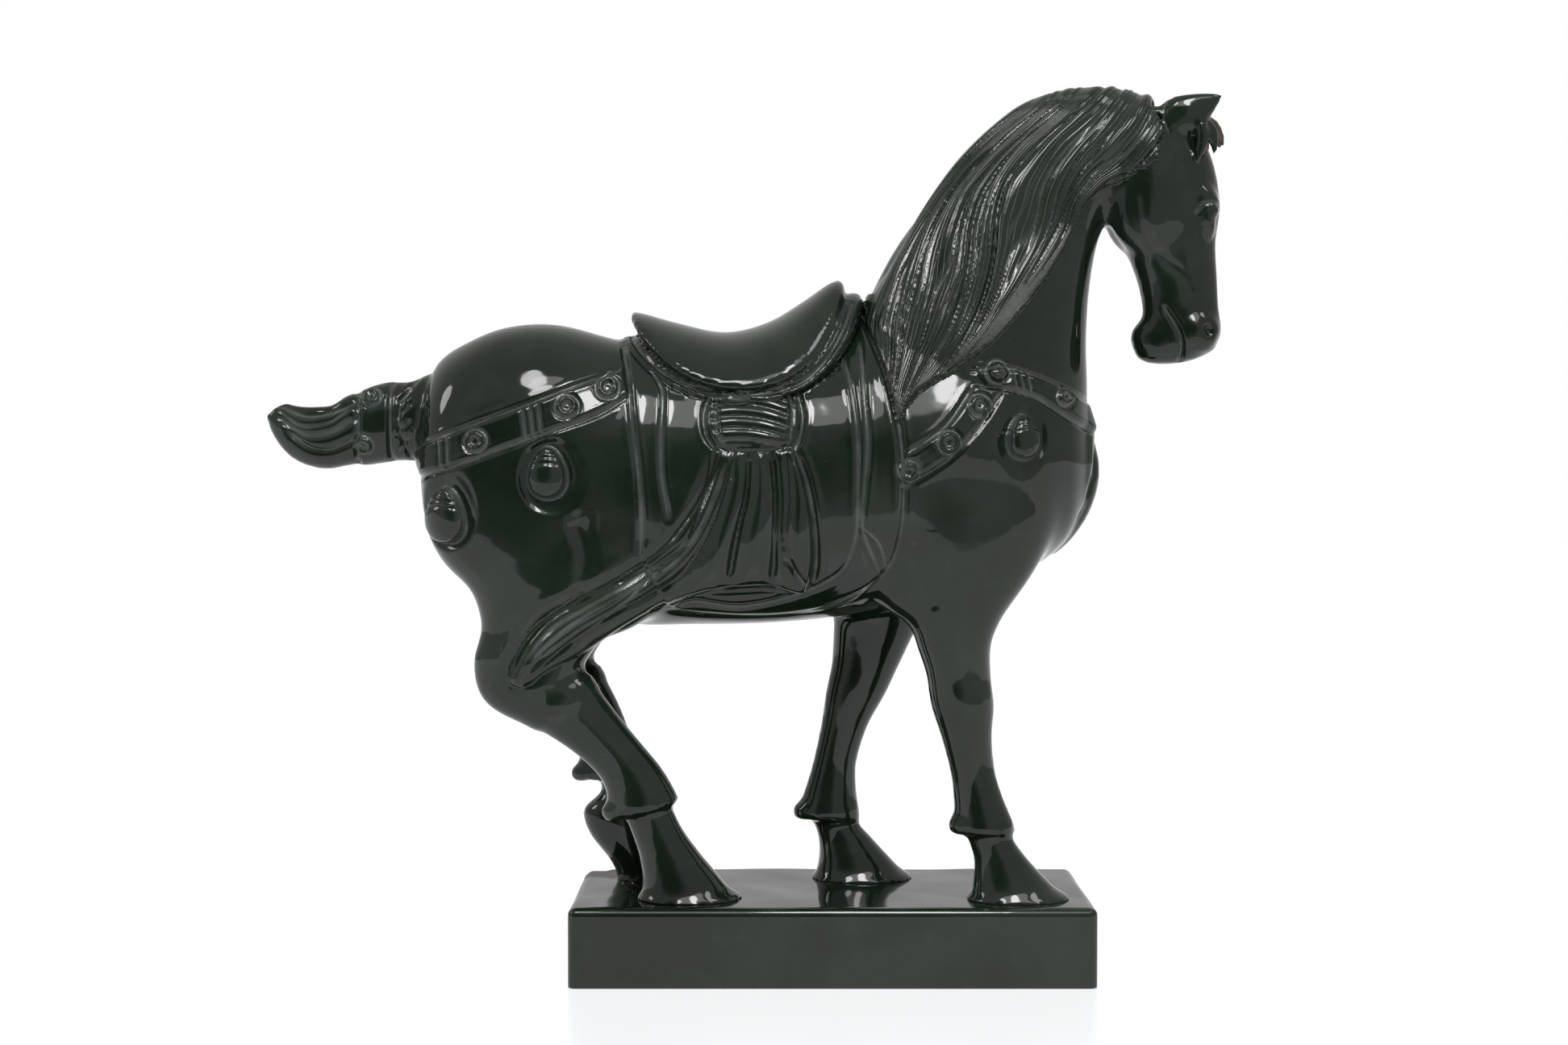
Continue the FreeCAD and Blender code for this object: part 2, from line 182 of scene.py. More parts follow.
def limb_distance(x, y, z, rings, power=2.0):
    """Distance to a tapering limb. Each ring is x, z, depth, width, tilt and aside."""
    path = smooth_line(rings, 5)
    d = np.full(np.broadcast(x, y, z).shape, FAR * 2, np.float32)
    turn = np.radians(path[:, 4])
    normal = np.stack([np.sin(turn), np.cos(turn)], 1)
    if np.dot(normal[0], path[1, :2] - path[0, :2]) < 0:
        normal = -normal
    across = np.stack([normal[:, 1], -normal[:, 0]], 1)
    planes = []
    for i in range(len(path)):
        dx, dz = x - path[i, 0], z - path[i, 1]
        ahead = dx * normal[i, 0] + dz * normal[i, 1]
        planes.append((ahead, dx * across[i, 0] + dz * across[i, 1]))
    last = len(path) - 2
    for i in range(last + 1):
        (n0, u0), (n1, u1) = planes[i], planes[i + 1]
        gap = n0 - n1
        t = np.where(np.abs(gap) > 1e-6, n0 / np.where(np.abs(gap) > 1e-6, gap, 1), 0)
        t = np.clip(t, 0, 1)
        half_depth = (path[i, 2] + (path[i + 1, 2] - path[i, 2]) * t) / 2
        half_width = (path[i, 3] + (path[i + 1, 3] - path[i, 3]) * t) / 2
        aside = path[i, 5] + (path[i + 1, 5] - path[i, 5]) * t
        u = u0 + (u1 - u0) * t
        v = y - aside
        over = np.zeros_like(t)
        if i == 0:
            over = np.maximum(-n0, 0)
        if i == last:
            over = np.maximum(over, np.maximum(n1, 0))
        held = (n0 >= 0) & (n1 <= 0)
        if i == 0:
            held |= n0 < 0
        if i == last:
            held |= n1 > 0
        small = np.minimum(half_depth, half_width)
        size = (np.abs(u / half_depth) ** power + np.abs(v / half_width) ** power) ** (1 / power)
        slope = np.sqrt((u / half_depth**2) ** 2 + (v / half_width**2) ** 2)
        edge = size * (size - 1) / np.maximum(slope, 1e-6)
        edge = np.where(size < 0.3, -0.7 * small, edge)
        past = np.where(edge > 0, np.hypot(edge, over), np.maximum(edge, over))
        own = np.where(over > 0, past, edge)
        d = np.where(held, np.minimum(d, own), d)
    return d


def limb(name, rings, blend, power=2.0, side=0, favour=0.0):
    """Adds a limb of rings, on the right where side is -1 and on the left where it is 1."""
    rows = np.array(rings, float)
    if side:
        rows[:, 5] *= side
    reach = rows[:, 2:4].max(1) / 2 + FAR
    half_width = rows[:, 3] / 2
    x_span = (rows[:, 0] - reach).min(), (rows[:, 0] + reach).max()
    y_span = (rows[:, 5] - half_width).min() - FAR, (rows[:, 5] + half_width).max() + FAR
    z_span = (rows[:, 1] - reach).min(), (rows[:, 1] + reach).max()
    cells, x, y, z = patch(*zip(x_span, y_span, z_span))
    add(cells, limb_distance(x, y, z, rows, power), blend, name, favour)


def lump_distance(x, y, z, centre, radii, tilt):
    """Near enough the distance to an ellipsoid, turned up towards the head by tilt degrees."""
    turn = math.radians(tilt)
    dx, dy, dz = x - centre[0], y - centre[1], z - centre[2]
    u = dx * math.cos(turn) + dz * math.sin(turn)
    w = dz * math.cos(turn) - dx * math.sin(turn)
    a, b, c = radii
    size = np.sqrt((u / a) ** 2 + (dy / b) ** 2 + (w / c) ** 2)
    slope = np.sqrt((u / a**2) ** 2 + (dy / b**2) ** 2 + (w / c**2) ** 2)
    return size * (size - 1) / np.maximum(slope, 1e-6)


def lump(name, centre, radii, blend, tilt=0.0, dig=False, favour=0.0):
    """Adds an ellipsoid, or digs it out."""
    reach = max(radii) + FAR
    centre = np.array(centre, float)
    cells, x, y, z = patch(centre - reach, centre + reach)
    d = lump_distance(x, y, z, centre, radii, tilt)
    if dig:
        carve(cells, d, blend)
    else:
        add(cells, d, blend, name, favour)


# ---- the horse's own shape

TORSO = [
    (-115, 151, 22, 16, 90, 0), (-111, 151, 42, 31, 90, 0), (-102, 149.5, 57, 45, 90, 0),
    (-91, 147, 70, 54, 90, 0), (-77, 144, 77, 58, 90, 0), (-59, 138, 80, 58, 90, 0),
    (-38, 136, 77, 59, 90, 0), (-16, 136.5, 77, 60, 90, 0), (4, 138, 76, 60, 90, 0),
    (24, 138, 68, 58, 90, 0), (42, 137.5, 60, 54, 90, 0), (56, 139, 52, 47, 90, 0),
    (66, 140.5, 40, 35, 90, 0), (71, 141, 24, 22, 90, 0),
]
NECK = [
    (36, 148, 66, 54, 6, 0), (39, 168, 66, 48, 12, 0), (43.5, 187, 58, 38.5, 18, 0),
    (50, 204, 49, 30.5, 26, 0), (57.5, 219, 42, 24, 36, 0), (68, 229.5, 36, 21, 55, 0),
    (79, 232.5, 31, 20, 78, 0), (89, 231.5, 27, 19, 92, 0),
]
HEAD = [
    (91.5, 236, 20, 15, 150, 0), (93.6, 226, 29, 20, 158, 0), (95.6, 214.5, 29.5, 19.5, 170, 0),
    (96.3, 205, 25.5, 17, 176, 0), (98.3, 195, 22.5, 14.5, 178, 0), (99.3, 187, 21.5, 13, 180, 0),
    (99.6, 181, 22.4, 13.2, 182, 0), (99, 176.5, 19.5, 12, 186, 0),
]
FRONT_RIGHT = [
    (36, 128, 42, 20, 0, 13.5), (35, 113, 37, 21, 0, 14.5), (34.3, 100, 25.5, 18.5, 0, 15),
    (34, 92.7, 20.7, 16.5, 0, 15), (35.3, 84.5, 18, 14.8, 0, 15), (36.4, 76, 17.6, 14.4, 0, 15),
    (37.6, 67, 14.2, 12.2, 0, 15), (39.2, 58, 12.6, 11, 0, 15), (40.7, 51, 13.6, 11.5, 0, 15),
    (42.2, 44, 16, 13.2, -2, 15), (42.5, 41, 16.8, 13.8, 0, 15),
]
FRONT_LEFT = [
    (28, 128, 42, 20, 0, 13.5), (20, 112, 35, 21, 0, 14.5), (14, 97, 25.5, 18, 0, 15),
    (10.8, 85.6, 20.2, 15.5, 0, 15), (7.7, 76.2, 17.6, 14.2, 0, 15), (4.4, 66.8, 13.8, 12, 0, 15),
    (1.9, 57.5, 12.7, 11, 0, 15), (0.9, 52, 13.6, 11.3, 0, 15), (-0.1, 44, 16.6, 13.2, 0, 15),
    (-0.2, 39.8, 17.8, 13.8, 2, 15),
]
THIGH = [
    (-82, 142, 50, 22, 0, 14), (-83, 124, 50, 25, 0, 15), (-79, 109, 43, 24.5, 0, 15),
    (-80.3, 98, 34.5, 21, 0, 14.8), (-83.3, 89, 33, 18.6, -6, 14.6),
    (-82.6, 81.5, 29, 16.8, -20, 14.5), (-74.2, 75.2, 20.4, 14.5, -36, 14.5),
]
CANNON_RIGHT = [
    (-76, 77.5, 21.5, 14.5, -36, 14.5), (-66.3, 68.6, 16.4, 12.6, -43, 14.5),
    (-59, 60.6, 15, 12, -42, 14.5), (-55.2, 54.4, 17.2, 13, -30, 14.5),
    (-53.3, 49.6, 19.4, 14.4, -20, 14.5), (-52.4, 46.8, 20.4, 14.8, -14, 14.5),
]
CANNON_LEFT = [
    (-76, 77.5, 21.5, 14.5, -36, 14.5), (-69, 69.4, 16.6, 12.6, -32, 14.5),
    (-65.5, 60.6, 16, 12.4, -18, 14.5), (-64.4, 54, 18.4, 13.6, 0, 14.5),
    (-64.6, 51, 18.6, 13.8, 4, 14.5),
]
HOOVES = {
    "front_right": [
        (43.6, 43, 12, 10.6, 0, 15), (44.4, 38.5, 12.6, 10.8, 0, 15), (46.8, 33.8, 14.4, 12, 0, 15),
        (49, 29, 18.6, 14.6, 0, 15), (50.8, 25, 23, 17.4, 0, 15), (51.9, 21, 27.6, 19.8, 0, 15),
    ],
    "front_left": [
        (1.6, 43, 12, 10.6, 0, 15), (2, 38.2, 12.8, 10.8, 0, 15), (4.5, 33.8, 15.4, 12, 0, 15),
        (6.8, 29, 19.6, 14.8, 0, 15), (8.4, 25, 24, 17.4, 0, 15), (9.4, 21, 28, 19.8, 0, 15),
    ],
    "hind_right": [
        (-52.4, 51, 12, 10, -10, 14.5), (-50.6, 45, 13.4, 11, -8, 14.5),
        (-48.4, 40, 14.4, 11.6, -4, 14.5), (-45.4, 34.6, 17, 13.2, 0, 14.5),
        (-42.8, 29.4, 20.4, 15.6, 0, 14.5), (-40.9, 25, 24, 18, 0, 14.5),
        (-39.8, 21, 28, 20, 0, 14.5),
    ],
    "hind_left": [
        (-61.5, 53, 12, 10.6, 0, 14.5), (-61, 47.5, 11.6, 10.2, 0, 14.5),
        (-62.2, 41.5, 19.4, 13.6, 4, 14.5), (-61, 34, 18.6, 14, 8, 14.5),
        (-57.6, 27, 14, 13, 8, 14.5), (-56, 21, 12.5, 12, 4, 14.5),
    ],
}
TAIL_DOCK = [
    (-108, 156.6, 26, 18, 90, 0), (-114, 156.2, 25, 17, 90, 0), (-119, 155.3, 22.6, 16, 90, 0),
    (-124.5, 155.2, 22.4, 16, 90, 0),
]
TAIL_BAND = [
    (-124.4, 155.2, 23, 16.8, 90, 0), (-129, 154.4, 22.6, 16.4, 90, 0),
    (-133.6, 153.2, 21.4, 15.6, 90, 0),
]
TAIL_BRUSH = [
    (-132, 153.2, 19, 14.2, 90, 0), (-137, 152.8, 20.4, 14.8, 92, 0),
    (-143, 150.8, 18.4, 13.4, 99, 0), (-149, 152, 16.8, 11.6, 116, 0),
    (-154.2, 155.2, 12, 8.6, 134, 0), (-157.8, 158.6, 6.6, 5, 145, 0),
]
CHEST_TASSEL = [
    (73.2, 149, 4, 6.4, 0, 0), (74, 143.6, 4.6, 7.6, 4, 0), (73.4, 137, 5.2, 9, 14, 0),
    (70.6, 129.5, 5.4, 10, 26, 0), (66.4, 122.6, 4.4, 8.4, 36, 0), (62.6, 118, 2.6, 5, 42, 0),
]
FORELOCK = [
    [(99.6, 242, 5, 4, 50, 1), (104.6, 240.4, 5, 4, 95, 1.4), (109, 237, 4, 3.4, 130, 1.6),
     (110.6, 232.8, 1.3, 1.2, 160, 1.6)],
    [(99.6, 241.6, 5, 4, 55, 2.6), (103.8, 239.2, 5, 4, 105, 5), (107, 235, 4, 3.2, 145, 6.4),
     (107.4, 230, 1.3, 1.2, 175, 6.6)],
    [(99.4, 241.2, 5, 4, 60, 4.6), (102.6, 237.8, 5, 4, 120, 8), (103.6, 233, 3.8, 3.2, 165, 9.2),
     (102, 227.4, 1.3, 1.2, 195, 9.4)],
    [(99, 240.8, 5, 4, 65, 6), (100.4, 236.2, 4.8, 4, 150, 9.6), (99, 230.4, 3.6, 3.2, 195, 11),
     (95.8, 222.6, 1.3, 1.2, 212, 11.2)],
]
EAR = [
    (93.4, 238, 10.5, 7.4, 62, 5), (97.8, 240.6, 11.6, 7, 60, 6.4),
    (102.2, 242.5, 9.8, 5.6, 61, 7.3), (106, 244.5, 5.6, 3.6, 63, 8),
    (109, 246.3, 1.5, 1.4, 64, 8.3),
]

# The points behind each fetlock: x and z.
ERGOTS = {
    "leg_front_right": (35.4, 42.2),
    "cannon_hind_right": (-61.6, 46),
    "leg_front_left": (-8, 41.4),
    "cannon_hind_left": (-73, 52.6),
}


def fenced(outline):
    """An outline whose first two corners stay square and whose others run in a smooth curve."""
    return np.vstack([outline[:2], smooth_line(outline[2:], 4)])


# The saddle: the box it lies in, the seat's and the pad's rings, and their outlines from the side.
SADDLE_BOX = (-66, -36, 150), (14, 36, 204)
PAD = [
    (-61.5, 150, 58, 40, 90, 0), (-56, 148, 63, 52, 90, 0), (-44, 145, 64, 60.5, 90, 0),
    (-29, 143.6, 65, 63.4, 90, 0), (-15, 145, 69, 63.4, 90, 0), (-3, 149, 74, 59, 90, 0),
    (5, 155, 73, 49, 90, 0), (10, 158, 66, 40, 90, 0),
]
SEAT = [
    (-60, 158, 57, 38, 90, 0), (-54, 155, 62, 52, 90, 0), (-43, 150.5, 65, 62, 90, 0),
    (-30, 148, 65, 66.5, 90, 0), (-18, 149, 68.5, 66.5, 90, 0), (-8, 152.6, 73, 61, 90, 0),
    (0.5, 158, 73.6, 47, 90, 0), (6, 161, 68, 38, 90, 0),
]
SEAT_OUTLINE = fenced([
    (-59, 225), (4.6, 225), (3.8, 190), (0.4, 180), (-5, 171.4), (-13.5, 165.4), (-24, 163),
    (-34, 164.4), (-42, 167.8), (-49, 173.4), (-54.4, 180), (-58, 187),
])
PAD_OUTLINE = fenced([
    (-62, 215), (9.8, 215), (9, 188), (5.6, 178), (-0.4, 169.4), (-9, 163), (-20, 160.2),
    (-32, 160.4), (-42, 163.2), (-50, 168), (-56.4, 174.4), (-61, 181),
])


def build_horse():
    """Fills the grid with the horse, largest masses first."""
    limb("torso", TORSO, 0, 2.15)
    limb("neck", NECK, 16)
    for side in (-1, 1):
        hand = "right" if side < 0 else "left"
        front = FRONT_RIGHT if side < 0 else FRONT_LEFT
        limb(f"leg_front_{hand}", front, 7, side=side, favour=-1.5)
        limb(f"leg_hind_{hand}", THIGH, 9, side=side, favour=-1.5)
        limb(f"cannon_hind_{hand}", CANNON_RIGHT if side < 0 else CANNON_LEFT, 2.5, side=side)
        for name, (x, z) in ERGOTS.items():
            if name.endswith(hand):
                lump(name, (x, side * 14.8, z), (2.6, 3.2, 1.7), 3.5, -12)
        # Shoulder, elbow, buttock and stifle.
        lump("torso", (40, side * 17, 128), (18, 9, 24), 8, -10)
        lump("torso", (22, side * 16, 112), (9, 6, 11), 7)
        lump("torso", (-101, side * 11, 140), (13, 13, 27), 9)
        lump("torso", (-62, side * 19, 110), (13, 8, 13), 9)
    for name, rings in HOOVES.items():
        side = -1 if name.endswith("right") else 1
        x, z, depth, width, tilt, aside = rings[-1]
        foot = [*rings[:-1], (x, z + 2, depth, width, tilt, aside)]
        flare = (x, PLINTH_TOP - 0.4, depth + 2.2, width + 2, tilt, aside)
        limb(f"hoof_{name}", [*foot, flare], 2.4, 2.15, side=side)
    limb("head", HEAD, 5, 2.1)
    build_face()
    limb("chest_tassel", CHEST_TASSEL, 0.6)
    limb("tail_dock", TAIL_DOCK, 1.5)
    limb("tail_band", TAIL_BAND, 0.4)
    limb("tail_brush", TAIL_BRUSH, 0.5)
    saddle = ("saddle_pad", PAD, PAD_OUTLINE), ("saddle_seat", SEAT, SEAT_OUTLINE)
    for name, rings, outline in saddle:
        cells, x, y, z = patch(*SADDLE_BOX)
        cover = limb_distance(x, y, z, np.array(rings, float))
        edge = inside(*np.broadcast_arrays(x[:, 0], z[0]), outline)[:, None, :]
        add(cells, soft_max(cover, edge, 2.4), 0.6, name, 1.0)


def build_face():
    """Jaw, cheeks, brows, eyes, nostrils, lips, ears and forelock."""
    for side in (-1, 1):
        hand = "right" if side < 0 else "left"
        lump("head", (89, side * 5.2, 215.5), (9.5, 6.6, 12.5), 4, -18)
        lump("head", (105.2, side * 6.2, 217), (4.6, 3.4, 3.2), 2.4, -60)
        lump("head", (105.6, side * 6.3, 211.2), (4.2, 2.8, 1.6), 2, -70)
        lump(f"eye_{hand}", (106, side * 7.4, 213.7), (2.5, 1.9, 2.2), 0.5, favour=0.5)
        lump("head", (103.6, side * 4.6, 180.4), (5.2, 3.4, 5), 3, 10)
        lump("head", (106.2, side * 6.8, 180.6), (1.3, 1.5, 2.1), 0.8, 25, dig=True)
        lump("head", (95.5, side * 11.5, 199), (4.5, 3.4, 9.5), 3, -15, dig=True)
        limb(f"ear_{hand}", EAR, 1.5, side=side, favour=0.3)
        lump(f"ear_{hand}", (103, side * 10.8, 242.8), (4.6, 1.3, 1.3), 0.8, 33, dig=True)
    lump("head", (97.5, 0, 175.4), (10.5, 5.2, 3.8), 2.2, 6)
    lump("head", (91.5, 0, 178.6), (6.4, 5, 5.6), 2.5, -10)
    for lock in FORELOCK:
        for side in (-1, 1):
            limb("forelock", lock, 0.9, side=side)


# ---- relief on its skin

CLOTH_OUTLINE = smooth_line([
    (-59.5, 182), (-56.6, 172), (-55, 160), (-53.6, 146), (-52.6, 130), (-52, 119), (-48, 109),
    (-44, 104), (-30, 101.6), (-12, 101.4), (0, 103.4), (9, 108), (16, 116), (18.6, 128),
    (18.8, 140), (17.4, 152), (14.4, 166), (9, 182), (8, 192), (-59, 192),
], 4)
DRAPE_OUTLINE = smooth_line([
    (-32.5, 147.5), (-35.2, 136), (-41.5, 126), (-48.5, 119), (-60, 111.5), (-73, 104.5),
    (-82.6, 97.4), (-87.6, 90), (-89, 83), (-84.5, 81.8), (-78, 86.2), (-68, 91.6), (-58, 98.4),
    (-48, 104), (-38, 108), (-28, 110), (-18, 110.6), (-9.4, 108.4), (-5.4, 112), (-4.6, 124),
    (-6.4, 136), (-10.6, 147.5),
], 4)
MANE_OUTLINE = smooth_line([
    (4, 190), (16, 214), (32, 236), (56, 256), (96, 256), (95.4, 246), (92.2, 241), (92.2, 229),
    (87.6, 223), (77.3, 221.2), (70, 215.4), (66, 207), (61, 197.6), (51.4, 185), (43.6, 176.4),
    (34.6, 169.6), (24.4, 163.4), (20, 159), (17.8, 154.6), (16.4, 160), (14, 170), (9.6, 183),
], 4)

# Engraved lines: half-width, depth and points.
LINES = [
    # Saddle cloth: front and rear edges, folds and hems.
    (0.8, 0.7, [(-58.2, 176), (-55.6, 166), (-54.2, 152), (-52.8, 140), (-52, 128),
        (-52.6, 118.6)]),
    (0.7, 0.55, [(-49.4, 168.4), (-46.6, 162), (-46.7, 151), (-46.4, 140), (-44.4, 128.4)]),
    (0.7, 0.6, [(3.2, 173), (5.2, 163), (6.7, 150), (6.8, 136), (6.2, 124), (3.2, 115.4),
        (-3.6, 110.4), (-14, 106.6), (-26, 104.4), (-38, 105.8), (-47, 103.6)]),
    (0.7, 0.6, [(8.2, 176), (8.6, 162), (9.4, 148), (8.4, 135), (8, 126), (11.2, 117.6),
        (13.4, 113)]),
    (0.6, 0.4, [(8, 126), (12.6, 121.6), (14.6, 115.4)]),
    (0.9, 0.8, [(10.4, 180), (14.8, 167), (17.6, 155), (18.8, 142), (18.8, 129), (16.6, 118),
        (11.6, 110.6), (4, 106), (-6, 102.6), (-18, 101), (-32, 101.4), (-46, 102.6)]),
    # The pad's rims, outside the seat's edge.
    (0.55, 0.9, [(-59.6, 186), (-56, 178.6), (-50.4, 171.6), (-43, 166.2), (-34, 162.8),
        (-24, 161.6), (-13, 163.6), (-4, 169.2), (2.2, 178.6), (6, 189)]),
    # Lines on the pad beside the knot.
    (0.5, 0.45, [(-17, 164.2), (-10, 164.6), (-5, 167.2)]),
    (0.5, 0.45, [(-38, 163.8), (-32.6, 161.8), (-29, 161.4)]),
    # Sash: its pleats under the knot, and the folds that sweep back to the hock.
    (2.0, 2.2, [(-29.8, 146), (-34.2, 135.4), (-39.2, 124), (-45.4, 117.8), (-56, 112),
        (-70, 105), (-80.6, 98), (-86.4, 90), (-88, 83.4)]),
    (0.8, 0.8, [(-29, 143), (-31.8, 135), (-37, 124), (-45.6, 115.2), (-58, 107.8), (-72, 99.6),
        (-82.4, 90)]),
    (2.2, 2.8, [(-26.8, 146), (-29.3, 135.4), (-33.6, 125), (-40.6, 115), (-49.6, 108.4),
        (-60, 102.6), (-72, 94.6), (-83.6, 84.6)]),
    (2.0, 2.6, [(-22.8, 146), (-23.4, 135.4), (-26.2, 123.4), (-28.4, 112.4)]),
    (2.0, 2.6, [(-16.6, 146), (-15.5, 134.4), (-15.8, 122), (-16.6, 112)]),
    (1.3, 1.8, [(-12.6, 146), (-11.8, 134.4), (-12.2, 122), (-9.6, 111.6)]),
    (0.9, 1.0, [(-9.8, 146), (-6.6, 136), (-5, 124), (-4.8, 115), (-6.4, 110.4)]),
    (0.6, 0.6, [(-13, 119), (-9.4, 114.6), (-6.2, 110.6)]),
    (0.7, 0.8, [(-50, 103.4), (-43.6, 107), (-36, 109.6), (-27, 110.4), (-16, 110.6),
        (-7.6, 108.6)]),
    (0.8, 1.0, [(-47, 115.4), (-58, 105.4), (-70, 98.4), (-80, 90.6)]),
    (0.8, 1.0, [(-40, 122), (-52, 113), (-66, 105), (-77, 98.4), (-84, 90)]),
    # Brackets round the knot.
    (0.7, 0.9, [(-33.4, 162.4), (-35, 157), (-34.4, 151), (-32, 147.4)]),
    (0.6, 0.8, [(-31, 162), (-31.8, 156), (-31, 150), (-29.6, 148)]),
    (0.6, 0.8, [(-12, 162), (-10.9, 156), (-11.6, 149.4)]),
    (0.7, 0.9, [(-9.6, 162.6), (-8.2, 156), (-9, 150), (-10.6, 147)]),
    # Croup strap.
    (0.7, 0.8, [(-118, 146.8), (-102, 152.5), (-85.4, 158.5), (-72.6, 163.5), (-59.4, 168.6)]),
    (0.7, 0.8, [(-118, 138.6), (-102, 143), (-89.6, 147.5), (-76.8, 152), (-64.3, 156.7),
        (-57, 161.4)]),
    (0.6, 0.45, [(-107.6, 149.6), (-107.2, 142.4)]),
    (0.6, 0.45, [(-105.4, 150.4), (-105, 143)]),
    (0.6, 0.45, [(-84.4, 157.8), (-83.4, 150.2)]),
    (0.6, 0.45, [(-82.3, 158.6), (-81.3, 151)]),
    (0.6, 0.45, [(-80.2, 159.4), (-79.2, 151.8)]),
    # Shoulder strap and breast collar.
    (0.7, 0.8, [(20.6, 146.4), (30.7, 153.6), (38.2, 164)]),
    (0.7, 0.8, [(21.4, 138.2), (30.7, 144), (36.6, 150), (41.6, 156.3), (46, 163)]),
    (0.7, 0.8, [(38, 168.6), (47.8, 169.4), (56, 167.2), (64, 164), (75, 159.4)]),
    (0.7, 0.8, [(45, 164.4), (54.4, 162), (60, 159), (67, 155), (74.4, 151.8)]),
    (0.5, 0.4, [(49.2, 169), (50.4, 163)]),
    (0.5, 0.4, [(51.2, 168.6), (52.4, 162.6)]),
    (0.5, 0.4, [(53.2, 168), (54.4, 162.2)]),
    # Face: jaw, mouth, eyelid and nostril.
    (1.7, 0.55, [(84.4, 219), (85.4, 211), (89, 205.2), (94, 200), (98.6, 196.4), (101.8, 190)]),
    (0.7, 0.9, [(93.6, 187), (96, 183.4), (98, 179), (98.8, 172)]),
    (0.5, 0.6, [(101.8, 213), (104.2, 215.8), (107.4, 216.2), (109.6, 214.6)]),
    (0.5, 0.5, [(93.4, 245.6), (92.8, 240), (94.2, 236)]),
    # Creases of the thigh, stifle and shoulder.
    (2.6, 0.7, [(-70, 128), (-67, 118), (-69, 106)]),
    (2.2, 0.6, [(22, 122), (24, 112), (29, 103)]),
]

# Ring studs: x, z, radius, and whether domed.
STUDS = {
    "croup_stud": [
        (-97.2, 149.3, 2.9, False),
        (-72.4, 158.6, 2.9, False),
        (-61.6, 163.8, 2.9, False),
    ],
    "shoulder_stud": [(31.3, 149, 2.8, False), (39.8, 158.9, 2.8, False)],
    "collar_stud": [(44.9, 168.2, 3.0, True), (64, 161.5, 2.4, False)],
}
# Studs with no piece of their own, on the shoulder strap's end and on the tail's band.
EXTRA_STUDS = [
    (20.4, 141.4, 2.6, False),
    (-129.4, 162, 2.4, False),
    (-131.6, 148.4, 2.4, False),
]

# The tail's lashing, its band's edges and the hair of its brush.
TAIL_LINES = [
    (0.6, 0.7, [(-116.6, 168), (-120.6, 161), (-121.4, 154), (-118.4, 143.6)]),
    (0.7, 0.8, [(-124.2, 167), (-123.8, 156), (-124.2, 143.6)]),
    (0.5, 0.6, [(-118, 164.6), (-121.8, 160.6)]),
    (0.5, 0.6, [(-118.2, 160.2), (-122.2, 155.8)]),
    (0.5, 0.6, [(-118.4, 155.4), (-122.6, 151)]),
    (0.5, 0.6, [(-118.6, 150.6), (-122.4, 146.4)]),
    (0.7, 0.8, [(-133.8, 165), (-133, 154), (-134, 142)]),
    (0.9, 0.9, [(-134, 160.6), (-141, 157.8), (-149, 157), (-157.8, 161)]),
    (0.9, 0.9, [(-134, 156), (-141, 152), (-149, 151.6), (-157, 157)]),
    (0.9, 0.9, [(-134, 150), (-140.6, 147), (-147, 147.6), (-153.6, 152.2)]),
    (0.6, 0.6, [(-136, 158.4), (-142, 154.8), (-150, 154), (-157, 159)]),
]

# Tassels, each with its recess: for both, x, z, half-width and half-length.
TASSELS = {
    "croup_tassel": [
        (-106.4, 129, 5.6, 7.8, -105.2, 130.6, 8, 11),
        (-77.6, 140.8, 5.3, 7.2, -76.4, 139.8, 9.2, 10.4),
    ],
    "collar_tassel": [(52.1, 150.6, 4.4, 6.2, 51.6, 151, 7, 11.2)],
}

# The sash's knot: x, z, half-width and half-height, without and with its margin.
KNOT = (-22.2, 154.8)
KNOT_SIZE = (12.4, 8.4)
KNOT_PIECE_SIZE = (13.2, 9.2)

# A normal turned sideways by more than this belongs to a flank, not to the top, belly or ends.
SIDEWAYS = 0.05

# The mane's flow: guide lines from the crest down to its edge, front one first.
GUIDES = [
    [(95, 250), (93.4, 243), (91.2, 235.4), (85, 226.4), (76, 221.8), (71, 216.2), (68.2, 209.5),
     (62.6, 200.5), (54.7, 190.4), (48, 181.4), (39, 173.6), (26.6, 164.6), (18.8, 154), (14, 146)],
    [(93, 252), (89.5, 244.2), (85, 235.3), (79, 228), (72.2, 222.6), (67.4, 216), (64.6, 208.4),
     (59, 199), (51.4, 189), (44.4, 180), (34.6, 171), (23.6, 161.6), (17.6, 153), (13.6, 146)],
    [(91, 254), (83.9, 246.5), (76, 237.5), (69.3, 229.7), (63.7, 220.7), (60.6, 212),
     (56.6, 202.4), (51.4, 193), (45.2, 184), (38.4, 175), (29.4, 166.4), (20.4, 157), (16, 149),
     (13.2, 145)],
    [(84, 254), (76, 247.4), (67, 239.8), (56.9, 230.8), (50.2, 221.8), (47.6, 212), (46.4, 203),
     (43.5, 192), (39, 181), (33, 172), (24.6, 162.6), (17.6, 153), (12.8, 145)],
    [(79, 255), (71, 247.4), (61.5, 239), (51, 229.6), (43.6, 219.6), (40, 209.6), (38.4, 199.6),
     (35, 188), (31, 178), (25.4, 168), (18.6, 157), (12.4, 145)],
    [(75, 255), (67, 247), (56.9, 238.6), (45.7, 228.5), (36.7, 218.4), (32, 208.3),
     (29.5, 199.4), (27.4, 189.3), (24, 178), (19.9, 166.8), (16.6, 156), (12, 145)],
    [(70, 255), (61.4, 245.4), (49, 235.3), (37.9, 224), (30, 212.8), (25, 202.7), (21.8, 192.6),
     (18.8, 181.4), (16.8, 169), (15, 157), (11.6, 145)],
    [(64, 252), (56, 243.7), (43, 233), (31.6, 220.7), (22.8, 207.2), (15.6, 193.8), (11.6, 184),
     (10.8, 175.8), (12, 166), (12.4, 156), (11, 145)],
]


